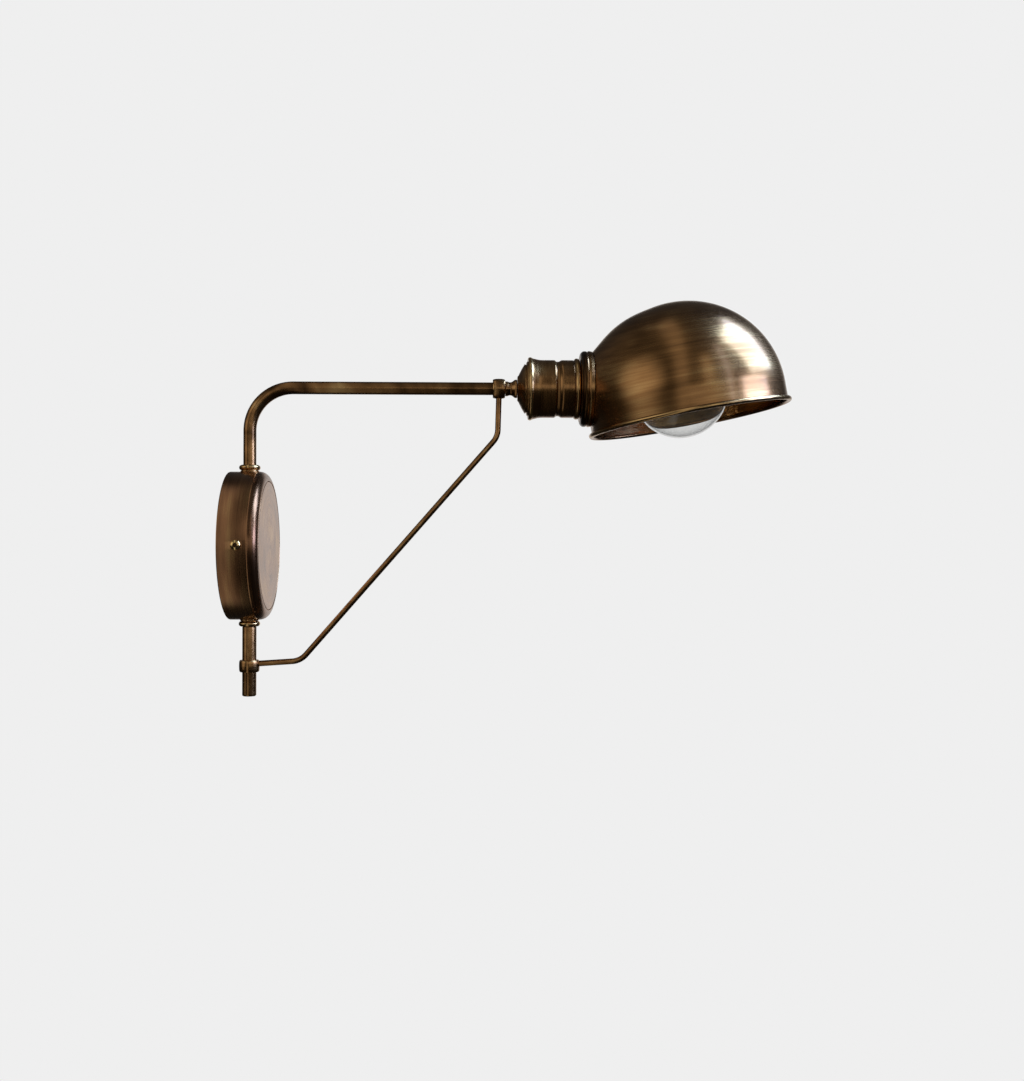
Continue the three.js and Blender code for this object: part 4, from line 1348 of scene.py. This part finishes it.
    def build_lampholder(self) -> None:
        """Phenolic lampholder, hollow down to its contact."""
        back, front = low("lampholder_body").x, high("lampholder_body").x
        radius = high("lampholder_body").z - HEIGHT
        floor = high("lampholder_contact").x - 2.4
        body = [
            Corner(0, back), Corner(radius, back, 0.6), Corner(radius, front - 2.0),
            Corner(radius, front, 0.9), Corner(14.5, front, 0.7), Corner(14.3, floor, 0.4), Corner(0, floor),
        ]
        self.shop.fit(turned("lampholder", body, HEAD_AXIS), "head", PHENOLIC, "lampholder_body")
        self.shop.keep(CABLE, "lampholder_lead")
        self.shop.keep(BRIGHT, "lampholder_contact")

    def build_shell(self) -> None:
        """Threaded shell that the bulb screws into."""
        start, end = low("lampholder_screw_shell").x, high("lampholder_screw_shell").x
        outer, inner = self.shell_radius + 0.5, self.shell_radius
        shell = [
            Corner(outer, start, 0.1), *self.thread(outer, start + 1, end - 1, 0.22), Corner(outer, end, 0.1),
            Corner(inner, end, 0.1), *reversed(self.thread(inner, start + 1, end - 1, 0.0)),
            Corner(inner, start, 0.1),
        ]
        self.shop.fit(turned("screw_shell", shell, HEAD_AXIS), "head", NICKEL, "lampholder_screw_shell")

    def build_ring_nut(self) -> None:
        """Ring nut that clamps the shade, with grip ribs copied round it by geometry nodes."""
        start, end = low("shade_ring_nut").x, high("shade_ring_nut").x
        outer = high("shade_ring_nut").z - HEIGHT
        nut = [
            Corner(HOLDER_BORE, start, 0.2), Corner(outer, start, 0.3, 0.4),
            Corner(outer - 0.4, start + 1.6, 0.4, 0.2), Corner(outer - 0.6, end - 1.0, 0.8, 0.6),
            Corner(outer - 1.6, end, 0.4, 0.5), Corner(HOLDER_BORE, end, 0.3),
        ]
        ring = turned("ring_nut_body", nut, HEAD_AXIS, 128)
        rib = [Corner(0, 0.6), Corner(0.55, 0.6, 0.2, 0.8), Corner(0.55, 3.6, 0.3, 0.8), Corner(0, 3.6)]
        ribs = turned("ring_nut_ribs", rib, Axis(), 12)
        finish = self.shop.material(RUBBED_HEAD)
        values = {"Count": self.nut_ribs, "Radius": (outer - 0.4) * MM, "Finish": finish}
        run_group(ribs, ring_group(), values)
        move_mesh(ribs, HEAD_AXIS.matrix() @ Matrix.Scale(1 / MM, 4) @ Matrix.Translation((0, 0, start * MM)))
        self.shop.fit(joined("ring_nut", ring, ribs), "head", RUBBED_HEAD, "shade_ring_nut")

    def thread(self, radius: float, start: float, end: float, height: float) -> list[Corner]:
        """Rounded thread crests along a thin shell.

        Args:
            radius: Middle radius of the thread.
            start: Station where it starts.
            end: Station where it ends.
            height: How far the crests stand out.

        Returns:
            Corners of the wavy line.
        """
        count = max(2, round((end - start) / 0.6))
        turn = 2 * math.pi / self.thread_pitch
        stations = [start + (end - start) * i / count for i in range(count + 1)]
        return [Corner(radius + height * math.sin((station - start) * turn), station) for station in stations]

    def build_glass(self) -> None:
        """Bulb's glass, a globe on a short neck."""
        tip, neck_from = high("bulb_glass"), low("bulb_glass").x
        globe = (tip.z - low("bulb_glass").z) / 2
        middle, neck, wall = tip.x - globe, self.glass_neck, self.glass_wall
        outside = self.globe_outline(middle, neck_from, globe, neck)
        inside = self.globe_outline(middle, neck_from, globe - wall, neck - wall)
        glass = turned("globe", outside + inside[::-1], HEAD_AXIS, 128)
        self.shop.fit(glass, "head", GLASS, "bulb_glass")

    def build_bulb_cap(self) -> None:
        """Bulb's threaded cap, its insulator and its contact."""
        start, end = low("bulb_cap").x, high("bulb_cap").x
        cap = [
            Corner(6.0, start, 0.1), Corner(11.7, start, 0.5), Corner(12.7, start + 1.6, 0.6),
            *self.thread(12.85, start + 2.4, end - 6, 0.32), Corner(12.9, end - 5.2, 0.4),
            Corner(13.2, end - 4.2, 0.3), Corner(13.2, end, 0.15), Corner(12.7, end, 0.1),
            Corner(12.4, start + 3.0, 0.3), Corner(11.4, start + 0.8, 0.3), Corner(6.0, start + 0.8, 0.1),
        ]
        self.shop.fit(turned("globe_cap", cap, HEAD_AXIS), "head", NICKEL, "bulb_cap")

        start, end = low("bulb_insulator").x, high("bulb_insulator").x
        cone = [Corner(0, start), Corner(5.4, start, 0.4), Corner(10.8, end, 0.3), Corner(0, end)]
        self.shop.fit(turned("globe_insulator", cone, HEAD_AXIS, 64), "head", PHENOLIC, "bulb_insulator")
        start, end = low("bulb_contact").x, high("bulb_contact").x
        button = [Corner(0, start), Corner(4.4, start, 0.4), Corner(4.4, end, 0.05), Corner(0, end)]
        self.shop.fit(turned("globe_contact", button, HEAD_AXIS, 48), "head", NICKEL, "bulb_contact")

    def build_bulb_inside(self) -> None:
        """Glass stem that holds the wires and the filament."""
        start, end = low("bulb_stem").x, high("bulb_stem").x
        stem = [
            Corner(0, start), Corner(11.1, start, 0.2), Corner(6.4, start + 2.2, 3.0),
            Corner(3.6, start + 7.0, 6.0), Corner(3.0, start + 14, 4.0), Corner(3.0, end - 1.5, 1.0),
            Corner(1.6, end - 0.2, 0.8), Corner(0, end),
        ]
        self.shop.fit(turned("globe_stem", stem, HEAD_AXIS, 64), "head", GLASS, "bulb_stem")
        self.shop.keep(WIRE, "bulb_wire_left", "bulb_wire_right", "bulb_filament")

    def globe_outline(self, centre: float, neck_from: float, radius: float, neck: float) -> list[Corner]:
        """Half outline of the globe from its neck to its tip.

        Args:
            centre: Station of the globe's centre.
            neck_from: Station where the neck starts.
            radius: The globe's radius.
            neck: The neck's radius.

        Returns:
            Corners along the outline.
        """
        start = math.radians(self.shoulder_angle)
        shoulder = Vector((radius * math.cos(start), centre + radius * math.sin(start)))
        leaving = Vector((math.sin(start), -math.cos(start)))
        straight, neck_pull, ball_pull = 2.5, 9.0, 7.0
        low_end, low_pull = Vector((neck, neck_from + straight)), Vector((neck, neck_from + neck_pull))
        high_pull = shoulder + leaving * ball_pull
        cove, steps = [], 13
        for step in range(steps):
            t = step / steps
            point = (low_end * (1 - t) ** 3 + low_pull * 3 * t * (1 - t) ** 2
                     + high_pull * 3 * t * t * (1 - t) + shoulder * t ** 3)
            cove.append(Corner(point.x, point.y))
        ball = arc(0, centre, radius, self.shoulder_angle, 90, 56)[:-1]
        return [Corner(neck, neck_from), *cove, *ball, Corner(0.05, centre + radius)]


@dataclass
class DomeShape:
    """Shade's mesh: one column of points for each direction round the dome's axis.

    The neck is a cone that grows less steep past a distance from the seat. It runs into the dome through a
    soft blend, which fades out below the dome's middle. The bead's angles are in degrees.
    """

    radius: float = 81.0
    columns: int = 288
    dome_rows: int = 88
    skirt_rows: int = 8
    bead_rows: int = 26
    wall: float = 1.2
    skirt: float = 14.8
    bead: float = 2.0
    bead_ring: float = 81.75
    bead_from: float = 108.0
    bead_to: float = -190.0
    bead_wear: float = 0.45
    outer_stop: float = 1.85
    inner_stop: float = 0.45
    # The whole inner face is painted lighter: painted light standing in for light bounced up into the shade.
    inner_painted_light: float = 0.6
    neck: float = 30.0
    neck_angle: float = math.radians(48)
    neck_fade: float = 8.0
    neck_fade_rate: float = 0.012
    blend: float = 8.0
    blend_from: float = -10.0
    blend_over: float = 25.0
    hole_sides: int = 96
    far_out: float = 130.0
    search_steps: int = 90
    search_pace: float = 0.8

    def __post_init__(self) -> None:
        """Works out the dome's own directions, and the outward one of each column."""
        self.centre = np.array(DOME_AXIS.origin)
        turn = np.array(Euler(DOME_AXIS.turn).to_matrix())
        self.up = turn[:, 2]
        angles = np.linspace(0, 2 * math.pi, self.columns, endpoint=False)
        self.outward = np.outer(np.cos(angles), turn[:, 0]) + np.outer(np.sin(angles), turn[:, 1])

    def build(self) -> bpy.types.Object:
        """Makes the mesh.

        Returns:
            The shade as one closed piece.
        """
        outside = self.skin(0.0, self.skirt - self.outer_stop)
        inside = self.skin(self.wall, self.skirt - self.inner_stop)
        rows = outside + self.rolled_rim() + inside[::-1]
        wear_and_painted_light = [0.0] * len(outside) + self.rim_wear() + [self.inner_painted_light] * len(inside)
        return self.closed_mesh(rows, wear_and_painted_light)

    def distance(self, points: np.ndarray, inset: float) -> np.ndarray:
        """Signed distance to the dome with its neck blended in.

        Args:
            points: Places, one row each.
            inset: How far inside the outer face the wanted face lies.

        Returns:
            One distance for each place.
        """
        offset = points - self.centre
        height = offset @ self.up
        flat = np.linalg.norm(offset - np.outer(height, self.up), axis=1)
        dome = np.hypot(flat, np.maximum(height, 0)) - self.radius
        past = points[:, 0] - SEAT
        around = np.hypot(points[:, 1], points[:, 2] - HEIGHT)
        cone = (around - self.neck - past * math.tan(self.neck_angle)) * math.cos(self.neck_angle)
        cone = cone + np.maximum(past - self.neck_fade, 0) ** 2 * self.neck_fade_rate
        reach = self.blend * np.clip((height - self.blend_from) / self.blend_over, 0.02, 1)
        nearness = np.maximum(reach - np.abs(dome - cone), 0) / reach
        return np.minimum(dome, cone) - nearness ** 2 * reach / 4 + inset

    def skin(self, inset: float, depth: float) -> list[np.ndarray]:
        """Rows of the outer or inner face, from the pole to the rim.

        Args:
            inset: Zero for the outer face, the wall for the inner one.
            depth: How far below the dome's centre the face ends.

        Returns:
            One array of places for each row.
        """
        lifts = [math.radians(90 * (1 - row / self.dome_rows)) for row in range(self.dome_rows)]
        starts = [self.centre] * self.dome_rows
        directions = [self.outward * math.cos(lift) + self.up * math.sin(lift) for lift in lifts]
        drops = [depth * row / self.skirt_rows for row in range(self.skirt_rows + 1)]
        starts += [self.centre - self.up * drop for drop in drops]
        directions += [self.outward] * len(drops)
        rows = []
        for start, direction in zip(starts, directions):
            reach = np.full(self.columns, self.far_out)
            for _ in range(self.search_steps):
                reach = reach - self.search_pace * self.distance(start + direction * reach[:, None], inset)
            rows.append(start + direction * reach[:, None])
        return rows

    def rolled_rim(self) -> list[np.ndarray]:
        """Rows round the bead at the rim.

        Returns:
            One array of places for each row.
        """
        middle = self.centre - self.up * self.skirt
        turns = np.radians(np.linspace(self.bead_from, self.bead_to, self.bead_rows))
        flats = [self.outward * (self.bead_ring + self.bead * np.cos(turn)) for turn in turns]
        return [middle + flat + self.up * self.bead * np.sin(turn) for flat, turn in zip(flats, turns)]

    def rim_wear(self) -> list[float]:
        """How worn each row of the bead is: its outermost third shows the metal."""
        return [self.bead_wear if 5 < row < 15 else 0.0 for row in range(self.bead_rows)]

    def closed_mesh(self, rows: list[np.ndarray], wear_and_painted_light: list[float]) -> bpy.types.Object:
        """Joins the rows, cuts the neck flat and closes it to a ring round the lampholder.

        Args:
            rows: Rows of places from the outer pole, over the rim, to the inner pole.
            wear_and_painted_light: How worn each row is; the inner face's rows carry painted light instead.

        Returns:
            The finished object.
        """
        work = bmesh.new()
        layer = work.verts.layers.float.new("wear_and_painted_light")
        grid = [self.add_row(work, layer, row, tone_mark) for row, tone_mark in zip(rows, wear_and_painted_light)]
        faces = [self.add_band(work, upper, lower) for upper, lower in zip(grid, grid[1:])]
        half = self.dome_rows + self.skirt_rows
        planes = (SEAT, SEAT + self.wall)
        for plane, bands in zip(planes, (faces[:half], faces[-half:])):
            self.cut_flat(work, plane, [face for band in bands for face in band])
        rings = [self.hole_ring(work, plane) for plane in planes]
        for plane, ring in zip(planes, rings):
            bmesh.ops.bridge_loops(work, edges=self.open_edges(work, plane) + ring)
        bmesh.ops.bridge_loops(work, edges=rings[0] + rings[1])
        bmesh.ops.recalc_face_normals(work, faces=work.faces)
        bmesh.ops.scale(work, vec=(MM, MM, MM), verts=work.verts)
        mesh = bpy.data.meshes.new("shade_dome")
        work.to_mesh(mesh)
        work.free()
        finish_mesh(mesh)
        return linked("shade_dome", mesh)

    def add_row(self, work: bmesh.types.BMesh, layer: object, row: np.ndarray, tone_mark: float) -> list:
        """Adds one vertex for each place, or a single one at a pole.

        Args:
            work: The mesh in work.
            layer: Its wear_and_painted_light layer.
            row: The row's places.
            tone_mark: The row's wear_and_painted_light value.

        Returns:
            A vertex for each column.
        """
        single = np.ptp(row, axis=0).max() < POLE
        made = [work.verts.new(place) for place in (row[:1] if single else row)]
        for vertex in made:
            vertex[layer] = tone_mark
        return made * self.columns if single else made

    def add_band(self, work: bmesh.types.BMesh, upper: list, lower: list) -> list:
        """Adds the faces between two rows.

        Args:
            work: The mesh in work.
            upper: A vertex of the one row for each column.
            lower: A vertex of the other row for each column.

        Returns:
            The new faces.
        """
        columns = range(self.columns)
        corners = (unique_corners((upper[i], upper[i - 1], lower[i - 1], lower[i])) for i in columns)
        return [work.faces.new(each) for each in corners]

    @staticmethod
    def cut_flat(work: bmesh.types.BMesh, plane: float, faces: list) -> None:
        """Cuts away what lies behind an upright plane.

        Args:
            work: The mesh in work.
            plane: The plane's distance from the wall.
            faces: The faces to cut.
        """
        edges = list({edge for face in faces for edge in face.edges})
        vertices = list({vertex for face in faces for vertex in face.verts})
        bmesh.ops.bisect_plane(
            work, geom=vertices + edges + faces, dist=1e-5, plane_co=(plane, 0, 0), plane_no=(1, 0, 0),
            clear_inner=True,
        )

    @staticmethod
    def open_edges(work: bmesh.types.BMesh, plane: float) -> list:
        """Open edges that the cut left in a plane."""
        return [e for e in work.edges if e.is_boundary and all(abs(v.co.x - plane) < 0.01 for v in e.verts)]

    def hole_ring(self, work: bmesh.types.BMesh, plane: float) -> list:
        """Adds the round edge of the hole that the lampholder passes through.

        Args:
            work: The mesh in work.
            plane: The edge's distance from the wall.

        Returns:
            The new edges.
        """
        angles = [2 * math.pi * side / self.hole_sides for side in range(self.hole_sides)]
        places = [(plane, HOLDER_BORE * math.cos(a), HEIGHT + HOLDER_BORE * math.sin(a)) for a in angles]
        ring = [work.verts.new(place) for place in places]
        return [work.edges.new((ring[i - 1], ring[i])) for i in range(self.hole_sides)]


# ---------------------------------------------------------------- studio
@dataclass(frozen=True)
class Softbox:
    """Rectangular light: where it stands seen from the lamp, its size in metres and its brightness.

    The bearing is in degrees from straight ahead of the viewer towards the right, and the rise in degrees.
    """

    name: str
    bearing: float
    rise: float
    distance: float
    size: tuple[float, float]
    watts: float
    tint: Colour = (1.0, 1.0, 1.0)

    def place(self, target: Vector) -> None:
        """Makes the light and turns it to the lamp.

        Args:
            target: The middle of the lamp.
        """
        data = bpy.data.lights.new(self.name, "AREA")
        data.shape = "RECTANGLE"
        data.size, data.size_y = self.size
        data.energy = self.watts
        data.color = self.tint
        made = linked(self.name, data)
        bearing, rise = math.radians(self.bearing), math.radians(self.rise)
        level = math.cos(rise)
        away = Vector((math.sin(bearing) * level, math.cos(bearing) * level, math.sin(rise)))
        made.location = target + away * self.distance
        made.visible_camera = False
        made.rotation_mode = "QUATERNION"
        made.rotation_quaternion = away.to_track_quat("Z", "Y")


@dataclass(frozen=True)
class PalePatch:
    """Soft round patch of the room: its direction from the lamp, where it fades, and its strength.

    The edge and the middle are cosines of the angle from the patch's direction, none and full at each.
    """

    direction: tuple[float, float, float]
    edge: float
    middle: float
    strength: float

    def glow(self, graph: Graph, looked: Wire) -> Wire:
        """Strength inside the patch, none outside.

        Args:
            graph: The world's graph.
            looked: Direction that is looked in.

        Returns:
            What the patch adds.
        """
        unit = tuple(Vector(self.direction).normalized())
        inputs = {0: looked, 1: unit}
        closeness = graph.wire("ShaderNodeVectorMath", "Value", {"operation": "DOT_PRODUCT"}, inputs)
        return closeness.ranged(self.edge, self.middle) * self.strength


@dataclass
class Studio:
    """Camera, pale surroundings, floor and softboxes. Lengths are in metres."""

    lens: float = 40.0
    stand: tuple[float, float, float] = (0.194, -0.983, -0.0076)
    pitch: float = math.radians(90.69)
    heading: float = math.radians(-2.0)
    paper: tuple[float, float, float, float] = (0.863, 0.863, 0.863, 1.0)
    room: tuple[float, float, float, float] = (1.0, 0.985, 0.965, 1.0)
    paper_in_glass: float = 0.22
    floor_drop: float = 0.9
    floor_radius: float = 6.0
    patches: tuple[PalePatch, ...] = (
        PalePatch((0.16, 0.985, 0.0), 0.86, 0.97, 0.70),
        PalePatch((-0.83, -0.45, 0.26), 0.86, 0.99, 0.62),
        PalePatch((-0.74, 0.29, 0.60), 0.88, 0.98, 0.06),
    )
    boxes: tuple[Softbox, ...] = (
        Softbox("window", 88, 42, 3.0, (2.0, 2.1), 150.0, (0.33, 0.53, 1.0)),
        Softbox("window_sill", 104, 10, 3.0, (1.9, 1.0), 66.0, (0.38, 0.51, 1.0)),
        Softbox("tall_strip", 137, 30, 3.0, (0.26, 2.5), 5.5, (0.42, 0.55, 1.0)),
        Softbox("front_strip", 161, 29, 3.0, (0.5, 1.6), 1.5),
        Softbox("low_band", 154, 4, 3.0, (3.4, 0.8), 4.6),
    )

    def build(self) -> None:
        """Makes the whole studio."""
        self.place_camera()
        self.light_world()
        self.lay_floor()
        target = (CAD_BOX[0] + CAD_BOX[1]) / 2
        for box in self.boxes:
            box.place(target)

    def place_camera(self) -> None:
        """Camera in front of the lamp, a little right of its middle and turned slightly right."""
        data = bpy.data.cameras.new("camera")
        data.lens = self.lens
        data.sensor_width = 36.0
        data.sensor_fit = "AUTO"
        camera = linked("camera", data)
        camera.location = self.stand
        camera.rotation_euler = (self.pitch, 0.0, self.heading)
        bpy.context.scene.camera = camera
        bpy.context.scene.view_settings.view_transform = "Standard"

    def light_world(self) -> None:
        """Pale paper all round to look at, and a darker room to light the metal, paler behind the lamp."""
        world = bpy.data.worlds.new("studio")
        bpy.context.scene.world = world
        world.use_nodes = True
        graph = Graph(world.node_tree)
        path = graph.node("ShaderNodeLightPath")
        looked, through = (Wire(graph, path.outputs[f"Is {kind} Ray"]) for kind in ("Camera", "Transmission"))
        seen = (looked + through * self.paper_in_glass).clamped()
        level = self.room_level(graph)
        room = graph.node("ShaderNodeBackground", None, {"Color": self.room, "Strength": level})
        paper = graph.node("ShaderNodeBackground", None, {"Color": self.paper})
        both = graph.node("ShaderNodeMixShader", None, {0: seen, 1: room.outputs[0], 2: paper.outputs[0]})
        graph.node("ShaderNodeOutputWorld", None, {"Surface": both.outputs[0]})

    def room_level(self, graph: Graph) -> Wire:
        """Brightness of the room: dim below, paler above and behind the viewer, with a pale wall and patches.

        Args:
            graph: The world's graph.

        Returns:
            The brightness in the direction that is looked in.
        """
        direction = graph.wire("ShaderNodeTexCoord", "Generated")
        split = graph.node("ShaderNodeSeparateXYZ", None, {0: direction})
        right, ahead, above = (Wire(graph, split.outputs[index]) for index in range(3))
        left = right * -1
        dim, sky, sky_nearby, wall_tone = 0.012, 0.035, 0.05, 0.40
        overhead = above.ranged(-0.2, 0.2) * (sky + ahead.ranged(0.3, -0.6) * sky_nearby)
        wall = left.ranged(0.07, 0.16) * left.ranged(0.42, 0.28) * ahead.ranged(0.4, 0.0) * wall_tone
        level = dim + overhead + wall
        for patch in self.patches:
            level = level + patch.glow(graph, direction)
        return level

    def lay_floor(self) -> None:
        """Wide pale floor, as bright as the paper behind; the metal and the glass don't show it."""
        sides, radius = 64, self.floor_radius
        angles = [2 * math.pi * side / sides for side in range(sides)]
        disc = np.array([(radius * math.cos(a), radius * math.sin(a), -self.floor_drop) for a in angles])
        floor = make_object("floor", disc, [list(range(sides))])
        material = new_material("floor_paper")
        graph = Graph(material.node_tree)
        glow = graph.node("ShaderNodeEmission", None, {"Color": self.paper})
        graph.node("ShaderNodeOutputMaterial", None, {"Surface": glow.outputs[0]})
        floor.data.materials.append(material)
        floor.visible_glossy = False
        floor.visible_diffuse = False
        floor.visible_transmission = False


def main() -> None:
    """Builds the studio and the lamp from the wall outwards."""
    logging.basicConfig(level=logging.INFO, format="%(name)s: %(message)s")
    shop = Workshop()
    Studio().build()
    for assembly in (Canopy(shop), Arm(shop), Head(shop)):
        assembly.build()


if __name__ == "__main__":
    main()
